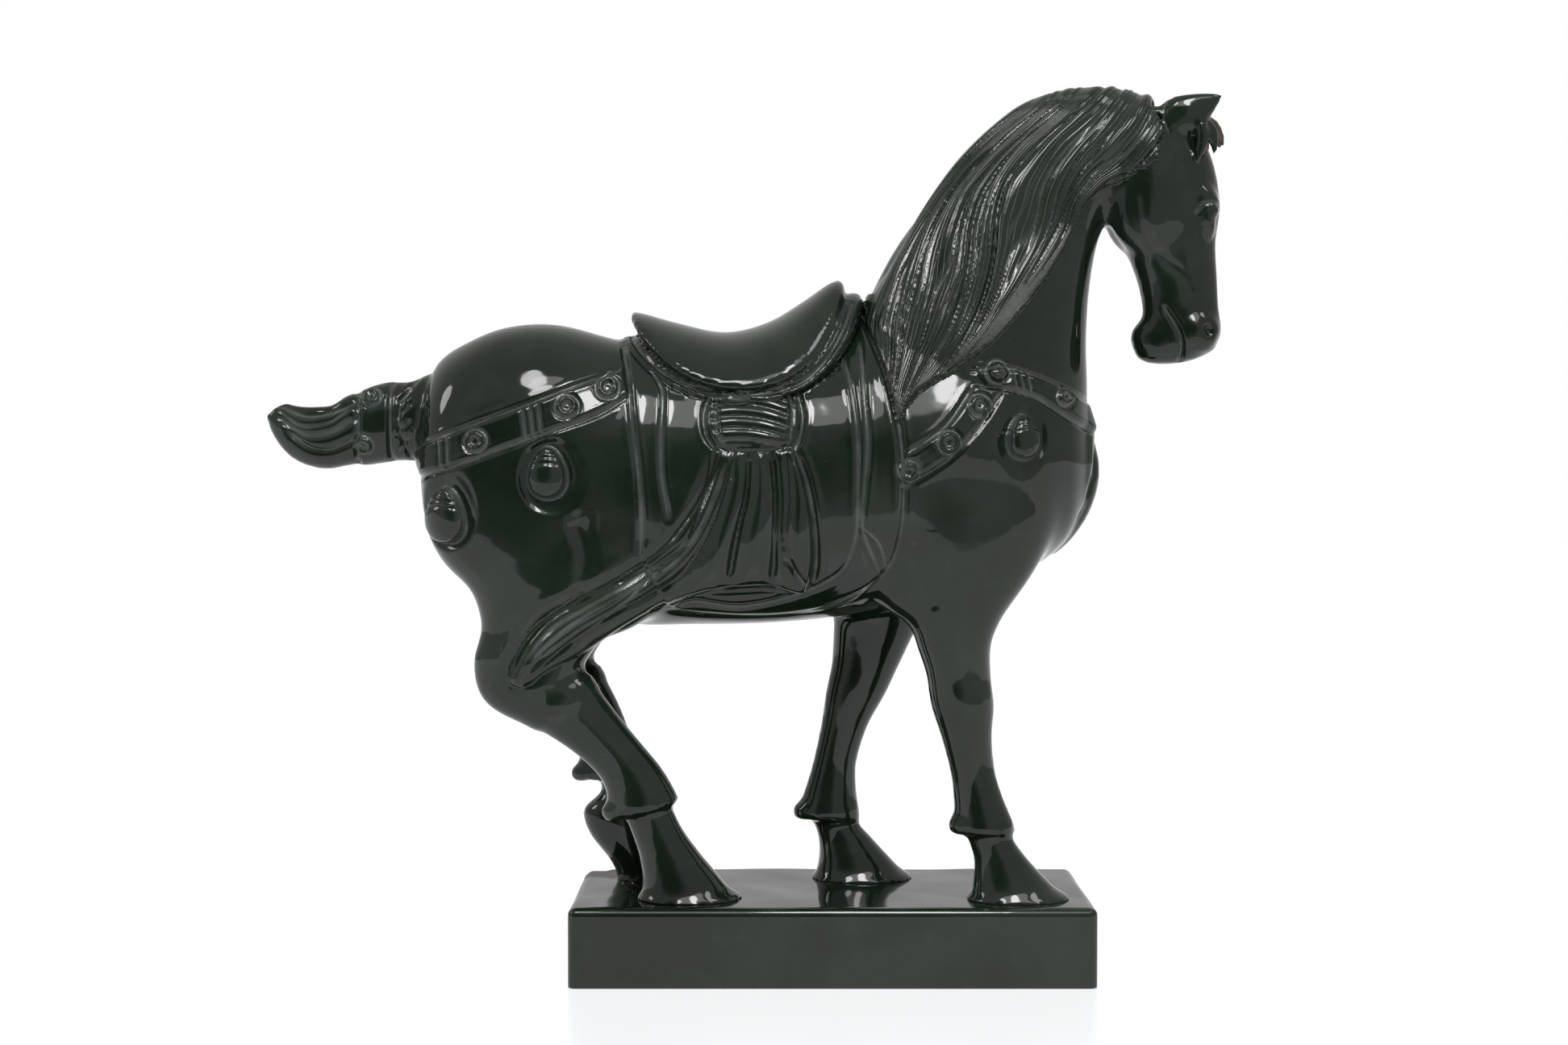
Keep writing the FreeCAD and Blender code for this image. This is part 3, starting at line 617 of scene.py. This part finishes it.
def mane_flow(x, z):
    """Which strand a point lies on, counted in guides, how far down it is, and the guides' gap."""
    flow = np.zeros(x.shape)
    down = np.zeros(x.shape)
    gap = np.full(x.shape, 9.0)
    done = np.zeros(x.shape, bool)
    sides = []
    for guide in GUIDES:
        d, along, side = line_distance(x, z, smooth_line(guide, 5))
        sides.append((-d * side, along))
    for i, ((a, run_a), (b, run_b)) in enumerate(zip(sides, sides[1:])):
        here = (a >= 0) & (b < 0) & ~done
        share = a / np.maximum(a - b, 1e-6)
        flow = np.where(here, i + share, flow)
        down = np.where(here, run_a + (run_b - run_a) * share, down)
        gap = np.where(here, a - b, gap)
        done |= here
    before = (sides[0][0] < 0) & ~done
    flow = np.where(before, sides[0][0] / 9, flow)
    after = (sides[-1][0] >= 0) & ~done
    flow = np.where(after, len(GUIDES) - 1 + sides[-1][0] / 9, flow)
    return flow, np.where(done, down, np.where(before, sides[0][1], sides[-1][1])), gap


def knot_reach(x, z, size):
    """0 at the knot's middle and 1 at its edge."""
    u, w = (x - KNOT[0]) / size[0], (z - KNOT[1]) / size[1]
    return (np.abs(u) ** 3 + np.abs(w) ** 3) ** (1 / 3)


def line_work(lines, x, z, height, stain):
    """Cuts engraved lines into a height, and stains them with what has settled in them."""
    for half_width, depth, points in lines:
        path = smooth_line(points, 6)
        low = path.min(0) - 3
        high = path.max(0) + 3
        near = np.flatnonzero((x > low[0]) & (x < high[0]) & (z > low[1]) & (z < high[1]))
        if not len(near):
            continue
        d, along, _ = line_distance(x[near], z[near], path)
        taper = np.clip(np.minimum(along, 1 - along) * 9 + 0.35, 0, 1)
        cut = np.exp(-((d / half_width) ** 2)) * taper
        if depth > 1.25:
            cut = np.exp(-d / half_width) * taper
        swell = np.exp(-(((d - 2.1 * half_width) / (1.1 * half_width)) ** 2)) * taper
        height[near] += -depth * cut + 0.16 * depth * swell
        if half_width < 1:
            dirt = 0.7 * np.exp(-((d / (0.6 * half_width)) ** 2)) * taper
            stain[near] = np.maximum(stain[near], dirt)


def band(points_above, points_below):
    """A strap's outline from its two edges."""
    return np.vstack([smooth_line(points_above, 5), smooth_line(points_below, 5)[::-1]])


STRAP_BANDS = {
    "croup_strap": band(
        [(-121, 146), (-102, 152.5), (-85.4, 158.5), (-72.6, 163.5), (-58, 169)],
        [(-121, 138), (-102, 143), (-89.6, 147.5), (-76.8, 152), (-64.3, 156.7), (-56, 162)],
    ),
    "shoulder_strap": band(
        [(17, 143.6), (22, 147), (30.7, 153.6), (38.2, 164.4)],
        [(19, 137), (22, 138.6), (30.7, 144), (36.6, 150), (41.6, 156.3), (46, 163)],
    ),
    "breast_collar": band(
        [(39, 169.4), (47.8, 169.4), (56, 167.2), (64, 164), (80, 157.6)],
        [(42, 165), (54.4, 162), (60, 159), (67, 155), (80, 149.4)],
    ),
}


def lies_in(where, *starts):
    """Which of the points lie in regions whose names start so."""
    return np.isin(where, [i for i, name in enumerate(REGIONS) if name.startswith(starts)])


def lay_relief(x, z, outward, where):
    """Height in mm to raise each point of the skin, what stains it, and its strand of mane."""
    height = np.zeros(x.shape)
    stain = np.zeros(x.shape)

    def lift(mask, amount):
        height[:] += np.where(mask, amount, 0)

    def soil(mask, amount):
        stain[:] = np.maximum(stain, np.where(mask, amount, 0))

    off_seat = step(inside(x, z, SEAT_OUTLINE) - 0.5, 0.9)
    off_pad = step(inside(x, z, PAD_OUTLINE) - 0.2, 1.2)
    face = lies_in(where, "head", "eye", "ear", "fore")
    tail = lies_in(where, "tail")
    body = ~(face | tail | lies_in(where, "hoof", "cannon"))
    flank = body & (outward > SIDEWAYS)
    facing = step(outward - 0.22, 0.3)

    cloth = inside(x, z, CLOTH_OUTLINE)
    raised = 1.1 * step(-cloth, 1.3)
    bare = (lies_in(where, "leg_hind") & (z < 104)) | (lies_in(where, "leg_front") & (z < 106))
    lift(body & ~bare, raised * off_pad)

    drape = inside(x, z, DRAPE_OUTLINE)
    sweep = step(-x - 42, 14)
    hem = 0.07 * np.clip(147 - z, 0, 38) * (1 - sweep)
    full = (2.0 + 1.0 * sweep + hem) * np.clip(1 - np.exp(np.minimum(drape, 0) / 1.6), 0, 1)
    lift(flank, full * facing)

    mane = inside(x, z, MANE_OUTLINE)
    hair = lies_in(where, "neck", "torso") & (mane < 0)
    flow, down, gap = mane_flow(x, z)
    wander = 0.16 * np.sin(down * 8 + flow * 2.3) + 0.07 * np.sin(down * 19 + flow * 5)
    lock = np.abs(np.sin(np.pi * (flow * 1.25 + 1.2 * wander + 0.14 * np.sin(flow * 4.3))))
    minor = np.abs(np.sin(np.pi * (flow * 2.9 + 1.9 * wander + 0.22 * np.sin(flow * 3.1))))
    ragged = step(-mane, 1.6)
    # The locks are calm at the crest, and broad or fine by how far apart the guides run.
    calm = 0.25 + 0.75 * step(outward - 0.4, 0.8)
    broad = step(gap - 2.4, 2.4)
    close = step(gap - 4.6, 2.4)
    locks = 1.4 * lock**0.8 * broad + 0.5 * minor**1.5 * close + 1.1 * (1 - broad)
    lift(hair, (0.4 + locks * calm) * ragged)
    cracks = 0.5 * np.exp(-((lock / 0.10) ** 2)) * broad
    cracks += 0.3 * np.exp(-((minor / 0.12) ** 2)) * close
    soil(hair, cracks * calm)

    harness = flank & (mane > 0) & (cloth > 0)
    for outline in STRAP_BANDS.values():
        strap = 0.8 * step(-inside(x, z, outline), 1.2)
        lift(harness, strap * facing)

    cuts = np.zeros(x.shape)
    line_work(LINES, x, z, cuts, stain)
    tail_cuts = np.zeros(x.shape)
    line_work(TAIL_LINES, x, z, tail_cuts, stain)
    on_side = (flank & (mane > -0.5)) | (face & (outward > SIDEWAYS))
    lift(on_side & ~hair, cuts * facing * off_seat)
    lift(tail, tail_cuts * facing)
    stain *= np.where(on_side | tail | hair, np.where(hair, 1, facing * off_seat), 0)

    # Knot: a wrapped band of slanting ribs.
    u, w = x - KNOT[0], z - KNOT[1]
    q = knot_reach(x, z, KNOT_SIZE)
    tied = flank & (q < 1.25)
    lift(tied, 2.6 * np.sqrt(np.clip(1 - q**3, 0, 1)) * facing)
    rib = np.abs(np.sin(np.pi * (w + 0.10 * u + 0.012 * u * u) / 3.0))
    ribs = (0.85 * np.sqrt(rib) - 0.6) * step(0.86 - q, 0.2)
    lift(tied, ribs * facing)
    soil(tied, 0.7 * np.exp(-((rib / 0.2) ** 2)) * (q < 0.86))

    for sx, sz, r, domed in [*sum(STUDS.values(), []), *EXTRA_STUDS]:
        d = np.hypot(x - sx, z - sz)
        ring = 0.95 * np.exp(-(((d - 0.72 * r) / 0.6) ** 2)) + 0.1 * np.exp(-((d / 0.9) ** 2))
        if domed:
            ring = 1.7 * np.sqrt(np.clip(1 - (d / (0.8 * r)) ** 2, 0, 1)) + 0.5 * ring
        ring = ring - 0.55 * np.exp(-(((d - 1.12 * r) / 0.45) ** 2))
        here = (flank | tail) & (d < 2 * r)
        lift(here, ring * facing)
        dirt = np.exp(-(((d - 1.1 * r) / 0.35) ** 2)) + 0.7 * np.exp(-(((d - 0.36 * r) / 0.3) ** 2))
        soil(here, dirt * facing)

    for rows in TASSELS.values():
        for sx, sz, half_width, half_length, hollow_x, hollow_z, hollow_w, hollow_l in rows:
            u, w = x - sx, z - sz
            egg = half_width * (1 - 0.2 * w / half_length)
            q = np.sqrt((u / egg) ** 2 + (w / half_length) ** 2)
            reach = (q - 1) * half_width
            rim = np.hypot((x - hollow_x) / hollow_w, (z - hollow_z) / hollow_l)
            rim = (rim - 1) * hollow_w
            hollow = 1.5 * step(reach + 0.3, 1.2) * step(-rim, 1.5)
            hollow = hollow * (1 - 0.75 * step(reach - 1.6, 4))
            drop = 2.7 * np.sqrt(np.clip(1 - q * q, 0, 1))
            cap = 0
            for level in (0.36, 0.56, 0.76):
                arc = w / half_length - level + 0.14 * (u / half_width) ** 2
                cap = cap - 0.55 * np.exp(-((arc * half_length / 0.42) ** 2)) * (q < 0.98)
            here = flank & (rim < 4)
            lift(here, (drop + cap - hollow) * facing)
            soil(here, 0.6 * np.exp(-((reach / 0.5) ** 2)) * facing)
    return height, np.clip(stain, 0, 1), np.where(hair, flow, -1.0)


# ---- the skin and its pieces


def grid_skin():
    """The volume's zero surface as points and four-sided faces, in millimetres."""
    grid = openvdb.FloatGrid()
    grid.background = FAR
    grid.copyFromArray(volume)
    points, quads = grid.convertToQuads(isovalue=0.0)
    return points * CELL + LOW, outward_faces(points, quads)


def outward_faces(points, quads):
    """The faces turned so that they all look out of the solid that they enclose."""
    a, b, c = (points[quads[:, i]] for i in range(3))
    full = np.einsum("ij,ij->i", a, np.cross(b, c)).sum()
    return quads if full > 0 else quads[:, ::-1]


def put(name, data):
    """A new object in the scene."""
    thing = bpy.data.objects.new(name, data)
    bpy.context.collection.objects.link(thing)
    return thing


def make_mesh(name, points, faces):
    mesh = bpy.data.meshes.new(name)
    mesh.from_pydata(points.tolist(), [], faces.tolist())
    mesh.validate()
    return mesh


def mark(mesh, label, values):
    """Gives each of a mesh's points a number that the material reads."""
    layer = mesh.attributes.new(label, "FLOAT", "POINT")
    layer.data.foreach_set("value", values.astype(np.float32))


def refined(points, quads):
    """The skin relaxed, and with every face divided in four and rounded off."""
    mesh = make_mesh("skin", points, quads)
    thing = put("skin", mesh)
    relax = thing.modifiers.new("relax", "SMOOTH")
    relax.factor = 0.5
    relax.iterations = 3
    divide = thing.modifiers.new("divide", "SUBSURF")
    divide.levels = 1
    graph = bpy.context.evaluated_depsgraph_get()
    done = thing.evaluated_get(graph).to_mesh()
    count = len(done.vertices)
    out = np.empty(count * 3, np.float32)
    done.vertices.foreach_get("co", out)
    faces = np.empty(len(done.polygons) * 4, np.int32)
    done.polygons.foreach_get("vertices", faces)
    thing.evaluated_get(graph).to_mesh_clear()
    bpy.data.objects.remove(thing)
    bpy.data.meshes.remove(mesh)
    return out.reshape(-1, 3).astype(float), faces.reshape(-1, 4)


def point_normals(points, quads):
    """Normals at the points, the average of their faces' normals by area."""
    a, b, c, d = (points[quads[:, i]] for i in range(4))
    face = np.cross(c - a, d - b)
    normals = np.zeros_like(points)
    for i in range(4):
        for axis in range(3):
            normals[:, axis] += np.bincount(quads[:, i], face[:, axis], len(points))
    return normals / np.maximum(np.linalg.norm(normals, axis=1), 1e-9)[:, None]


def region_at(points):
    """The number of the region that each point lies nearest to."""
    cell = np.clip(np.rint((points - LOW) / CELL).astype(int), 0, COUNT - 1)
    return region[cell[:, 0], cell[:, 1], cell[:, 2]]


def name_faces(x, y, z, where, outward):
    """The piece that each face belongs to, as numbers into a growing list of names."""
    owner = np.array(where, int)
    titles = list(REGIONS)

    def give(mask, title):
        if title not in titles:
            titles.append(title)
        owner[mask] = titles.index(title)

    trunk = lies_in(where, "torso", "neck")
    flank = (trunk | lies_in(where, "leg_")) & (z > 78) & (outward > SIDEWAYS)
    cloth = inside(x, z, CLOTH_OUTLINE)
    mane = inside(x, z, MANE_OUTLINE)
    drape = inside(x, z, DRAPE_OUTLINE)
    give(trunk & (cloth < 0), "saddle_cloth")
    give(trunk & (mane < 0), "mane")
    plain = flank & (mane >= 0) & (cloth >= 0)
    hands = [("right", y < 0), ("left", y >= 0)]
    give(plain & (inside(x, z, STRAP_BANDS["breast_collar"]) < 0), "breast_collar")
    for hand, mine in hands:
        for strap in ("croup_strap", "shoulder_strap"):
            give(plain & mine & (inside(x, z, STRAP_BANDS[strap]) < 0), f"{strap}_{hand}")
        give(flank & mine & (drape < 0), f"sash_drape_{hand}")
        give(flank & mine & (knot_reach(x, z, KNOT_PIECE_SIZE) < 1), f"sash_knot_{hand}")
        for group, rows in STUDS.items():
            for n, (sx, sz, r, _) in enumerate(rows, 1):
                give(flank & mine & (np.hypot(x - sx, z - sz) < 1.3 * r), f"{group}_{hand}_{n}")
        for group, rows in TASSELS.items():
            for n, (sx, sz, half_width, half_length, *_) in enumerate(rows, 1):
                q = np.hypot((x - sx) / (half_width + 1), (z - sz) / (half_length + 1))
                give(flank & mine & (q < 1), f"{group}_{hand}_{n}")
    return owner, titles


def build_skin(material):
    """The horse's pieces, by the names of the nodes that they replace."""
    build_horse()
    points, quads = refined(*grid_skin())
    normals = point_normals(points, quads)
    x, y, z = points.T
    outward = normals[:, 1] * np.sign(y)
    height, stain, strand = lay_relief(x, z, outward, region_at(points))
    points = points + normals * height[:, None]
    normals = point_normals(points, quads)
    middle = points[quads].mean(1)
    facing = normals[quads].mean(1)
    out = facing[:, 1] * np.sign(middle[:, 1])
    owner, titles = name_faces(*middle.T, region_at(middle), out)
    made = {}
    for i, title in enumerate(titles):
        mine = quads[owner == i]
        if not len(mine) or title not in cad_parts:
            continue
        used, local = np.unique(mine, return_inverse=True)
        mesh = make_mesh(title + "_stone", points[used] * MM, local.reshape(-1, 4))
        mark(mesh, "stain", stain[used])
        mark(mesh, "strand", strand[used])
        mesh.shade_smooth()
        mesh.normals_split_custom_set_from_vertices(normals[used].tolist())
        mesh.materials.append(material)
        made[title] = put(title + "_stone", mesh)
    return made


def build_plinth(material):
    """A rounded block with an uneven top and a worn corner at the back left."""
    low, high = (np.array(corner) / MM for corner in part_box("plinth"))
    size = high - low
    middle = (low + high) / 2
    radius = 2.3
    spacing = 0.8
    points = []
    faces = []
    for axis in range(3):
        for sign in (-1, 1):
            u, v = (axis + 1) % 3, (axis + 2) % 3
            rows = []
            for length in (size[u], size[v]):
                edge = np.linspace(0, radius, 5)[:-1]
                inner = np.linspace(radius, length - radius, int(length / spacing))
                row = np.concatenate([edge, inner, length - edge[::-1]])
                rows.append(row - length / 2)
            grid = np.zeros((len(rows[0]), len(rows[1]), 3))
            grid[..., u] = rows[0][:, None]
            grid[..., v] = rows[1][None, :]
            grid[..., axis] = sign * size[axis] / 2
            start = sum(len(p) for p in points)
            points.append(grid.reshape(-1, 3))
            a = np.arange(len(rows[0]) - 1)[:, None] * len(rows[1]) + np.arange(len(rows[1]) - 1)
            a = a.ravel() + start
            quad = np.stack([a, a + len(rows[1]), a + len(rows[1]) + 1, a + 1], 1)
            faces.append(quad if sign > 0 else quad[:, ::-1])
    points = np.vstack(points)
    core = np.clip(points, -size / 2 + radius, size / 2 - radius)
    # The lower edges stay square.
    core[:, 2] = np.where(points[:, 2] < 0, points[:, 2], core[:, 2])
    away = points - core
    reach = np.linalg.norm(away, axis=1)
    points = core + away / np.maximum(reach, 1e-9)[:, None] * np.minimum(reach, radius)[:, None]
    points += middle
    x, y, z = points.T
    chip = step(-(x + 54), 5) * step(y - 20 + 0.1 * x + 5 * np.sin(x / 3), 2) * (z > high[2] - 4)
    points[:, 2] -= 0.7 * chip
    wave = 0.10 * np.sin(x / 11) * np.sin(y / 7 + 1) + 0.06 * np.sin(x / 5 + y / 6)
    crossed = np.sin(y / 5.3 + 2 * np.sin(x / 17))
    wave += 0.03 * np.sin(x / 4.3 + 2.4 * np.sin(y / 9.1 + x / 31)) * crossed
    points[:, 2] += np.where(z > high[2] - 0.5, wave - 0.12, 0)
    mesh = make_mesh("plinth_stone", points * MM, np.vstack(faces))
    shape = bmesh.new()
    shape.from_mesh(mesh)
    bmesh.ops.remove_doubles(shape, verts=shape.verts, dist=0.02 * MM)
    bmesh.ops.recalc_face_normals(shape, faces=shape.faces)
    shape.to_mesh(mesh)
    shape.free()
    mark(mesh, "stain", np.zeros(len(mesh.vertices)))
    mark(mesh, "strand", np.full(len(mesh.vertices), -1.0))
    mesh.shade_smooth()
    mesh.materials.append(material)
    return put("plinth_stone", mesh)


# ---- nephrite


def node_tools(tree):
    """Short ways to add nodes to a node tree: each gives the new node or its output."""
    link = tree.links.new

    def add_node(kind, **settings):
        node = tree.nodes.new("ShaderNode" + kind)
        for key, value in settings.items():
            setattr(node, key, value)
        return node

    def remap(value, a, b, c=0.0, d=1.0):
        node = add_node("MapRange", interpolation_type="SMOOTHSTEP")
        link(value, node.inputs["Value"])
        for socket, limit in zip(("From Min", "From Max", "To Min", "To Max"), (a, b, c, d)):
            node.inputs[socket].default_value = limit
        return node.outputs["Result"]

    def calc(kind, a, b=None):
        node = add_node("Math", operation=kind)
        for socket, value in zip(node.inputs, (a, b)):
            if isinstance(value, (int, float)):
                socket.default_value = value
            elif value is not None:
                link(value, socket)
        return node.outputs[0]

    def measure(kind, place, fixed):
        node = add_node("VectorMath", operation=kind)
        link(place, node.inputs[0])
        node.inputs[1].default_value = fixed
        return node.outputs["Value"]

    return add_node, remap, calc, measure


def nephrite():
    """Near-black green stone, clouded and flecked, polished, with pale grime in its cuts."""
    material = bpy.data.materials.new("polished_nephrite")
    material.use_nodes = True
    tree = material.node_tree
    link = tree.links.new
    add_node, remap, calc, measure = node_tools(tree)
    shader = tree.nodes["Principled BSDF"]
    place = add_node("TexCoord").outputs["Object"]

    def noise(scale, detail, rough=0.55, warp=0.0):
        node = add_node("TexNoise")
        node.inputs["Scale"].default_value = scale
        node.inputs["Detail"].default_value = detail
        node.inputs["Roughness"].default_value = rough
        node.inputs["Distortion"].default_value = warp
        link(place, node.inputs["Vector"])
        return node.outputs["Fac"]

    def mix(factor, a, b):
        node = add_node("Mix", data_type="RGBA")
        link(factor, node.inputs["Factor"])
        for socket, value in ((node.inputs[6], a), (node.inputs[7], b)):
            if isinstance(value, tuple):
                socket.default_value = (*value, 1)
            else:
                link(value, socket)
        return node.outputs[2]

    def attribute(name):
        return add_node("Attribute", attribute_name=name).outputs["Fac"]

    def bump(strength, distance, height, under=None):
        node = add_node("Bump")
        node.inputs["Strength"].default_value = strength
        node.inputs["Distance"].default_value = distance
        link(height, node.inputs["Height"])
        if under is not None:
            link(under, node.inputs["Normal"])
        return node.outputs["Normal"]

    clouds = remap(noise(26, 5, 0.6, 0.6), 0.36, 0.68)
    drifts = remap(noise(70, 4, 0.6, 1.2), 0.5, 0.78)
    colour = mix(clouds, (0.0052, 0.0102, 0.0054), (0.0108, 0.0190, 0.0112))
    colour = mix(calc("MULTIPLY", drifts, 0.3), colour, (0.022, 0.034, 0.022))
    flecks = remap(noise(900, 2, 0.5), 0.72, 0.8)
    colour = mix(calc("MULTIPLY", flecks, 0.25), colour, (0.10, 0.12, 0.09))

    # Strands of the mane, finer than the skin's own points.
    strand = attribute("strand")
    hair = remap(strand, -0.9, -0.6)
    drift = calc("MULTIPLY", noise(50, 1), 1.3)
    phase = calc("ADD", calc("MULTIPLY", strand, 6.1), drift)
    wave = calc("ABSOLUTE", calc("SINE", calc("MULTIPLY", phase, math.pi)))
    hairline = calc("MULTIPLY", remap(wave, 0.0, 0.2, 1.0, 0.0), hair)

    grime = remap(noise(160, 3), 0.3, 0.66, 0.45, 1.0)
    lined = calc("MAXIMUM", attribute("stain"), calc("MULTIPLY", hairline, 0.95))
    stain = calc("MULTIPLY", calc("MULTIPLY", lined, grime), 0.42)
    colour = mix(stain, colour, (0.25, 0.285, 0.255))

    # Brown rind left on the forelock and on the plinth's back left corner.
    low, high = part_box("forelock")
    tip = (high[0] - 0.002, (low[1] + high[1]) / 2, (low[2] + high[2]) / 2)
    low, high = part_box("plinth")
    corner = (low[0] + 0.007, high[1] - 0.003, high[2])
    spots = []
    for centre, reach, weight in ((tip, 0.012, 0.7), (corner, 0.025, 0.9)):
        away = measure("DISTANCE", place, centre)
        ragged = calc("ADD", away, calc("MULTIPLY", noise(240, 4), 0.012))
        near = remap(ragged, reach * 0.6, reach, 1.0, 0.0)
        spots.append(calc("MULTIPLY", near, weight))
    rind = calc("MAXIMUM", *spots)
    colour = mix(rind, colour, (0.115, 0.082, 0.052))
    link(colour, shader.inputs["Base Color"])

    polish = remap(noise(45, 4), 0.3, 0.7, 0.045, 0.085)
    rough = calc("ADD", polish, calc("MULTIPLY", stain, 0.45))
    rough = calc("ADD", rough, calc("MULTIPLY", rind, 0.4))
    link(rough, shader.inputs["Roughness"])
    shader.inputs["IOR"].default_value = 1.5

    relief = bump(0.6, 0.00022, calc("MULTIPLY", calc("SQRT", wave), hair))
    ripple = bump(0.35, 0.0004, noise(55, 3, 0.5), relief)
    worn = bump(0.6, 0.0004, calc("MULTIPLY", noise(700, 5, 0.7), rind), ripple)
    link(worn, shader.inputs["Normal"])
    return material


# ---- stage, light and camera


def build_stage():
    """A pale floor that glows a little, so that it ends in the white backdrop without a line."""
    floor_paint = bpy.data.materials.new("pale_floor")
    floor_paint.use_nodes = True
    paint = floor_paint.node_tree.nodes["Principled BSDF"]
    paint.inputs["Base Color"].default_value = (0.1, 0.1, 0.1, 1)
    paint.inputs["Roughness"].default_value = 0.3
    paint.inputs["Emission Color"].default_value = (0.98, 0.99, 1, 1)
    paint.inputs["Emission Strength"].default_value = 0.84
    corners = [(-2.5, -0.42, 0), (2.5, -0.42, 0), (2.5, 3, 0), (-2.5, 3, 0)]
    mesh = bpy.data.meshes.new("floor")
    mesh.from_pydata(corners, [], [(0, 1, 2, 3)])
    mesh.materials.append(floor_paint)
    put("floor", mesh)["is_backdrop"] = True


def soft_box(name, place, aim, size, power):
    """An oval lamp that faces the point it is aimed at."""
    light = bpy.data.lights.new(name, "AREA")
    light.shape = "ELLIPSE"
    light.size, light.size_y = size
    light.energy = power
    lamp = put(name, light)
    lamp.location = place
    way = [b - a for a, b in zip(place, aim)]
    yaw = math.atan2(way[1], way[0])
    fall = math.atan2(-way[2], math.hypot(way[0], way[1]))
    lamp.rotation_euler = (math.pi / 2 - fall, 0, yaw - math.pi / 2)


def build_light():
    """A white backdrop to the eye; to the stone, a dim room in front and pale walls behind."""
    world = bpy.data.worlds.new("studio")
    bpy.context.scene.world = world
    world.use_nodes = True
    tree = world.node_tree
    link = tree.links.new
    add_node, remap, calc, measure = node_tools(tree)
    place = add_node("TexCoord").outputs["Generated"]
    # Each lobe's direction, then the cosines where it starts and ends, and the light there.
    front = remap(measure("DOT_PRODUCT", place, (-0.3, -0.94, 0.1)), 0.83, 0.97, 0.48, 0.05)
    behind = remap(measure("DOT_PRODUCT", place, (0, 0.98, 0.15)), 0.3, 0.95, 0.0, 0.2)
    either = add_node("Mix")
    link(add_node("LightPath").outputs["Is Camera Ray"], either.inputs["Factor"])
    link(calc("ADD", front, behind), either.inputs[2])
    either.inputs[3].default_value = 1.0
    back = tree.nodes["Background"]
    link(either.outputs[0], back.inputs["Strength"])
    back.inputs["Color"].default_value = (1, 1, 1, 1)
    aim = (0, 0, 0.12)  # The middle of the horse.
    soft_box("rump", (-0.26, -0.62, 0.95), aim, (0.2, 0.3), 1.7)
    soft_box("flank", (0.07, -0.75, 0.95), aim, (0.2, 0.42), 3.2)
    soft_box("spread", (0.06, -0.76, 0.95), aim, (0.8, 0.46), 2.3)
    soft_box("left", (-1.1, -0.1, 0.72), aim, (0.3, 0.4), 1.6)
    soft_box("right", (0.6, -0.5, 1.1), aim, (0.3, 0.4), 1.6)


def build_camera():
    """Level with the horse's back, 0.62 m from its middle, and turned down a little."""
    camera = bpy.data.cameras.new("camera")
    camera.lens = 50
    camera.sensor_width = 36
    camera.clip_start = 0.01
    eye = put("camera", camera)
    eye.location = (-0.0133, -0.62, 0.1455)
    turned_down = 1.76
    eye.rotation_euler = (math.radians(90 - turned_down), 0, 0)
    bpy.context.scene.camera = eye


# ---- the scene

stone = nephrite()
pieces = build_skin(stone)
pieces["plinth"] = build_plinth(stone)
# A node whose region came out empty would be stood for by the torso.
spare = [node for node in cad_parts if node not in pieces]
for name, piece in pieces.items():
    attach(piece, "root")
    extra = spare if name == "torso" else []
    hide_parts(name, *extra)
build_stage()
build_light()
build_camera()
bpy.context.scene.view_settings.view_transform = "Standard"
boxes = {"cad": cad_box, "visual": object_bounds()}
{k: [list(map(float, corner)) for corner in box] for k, box in boxes.items()}
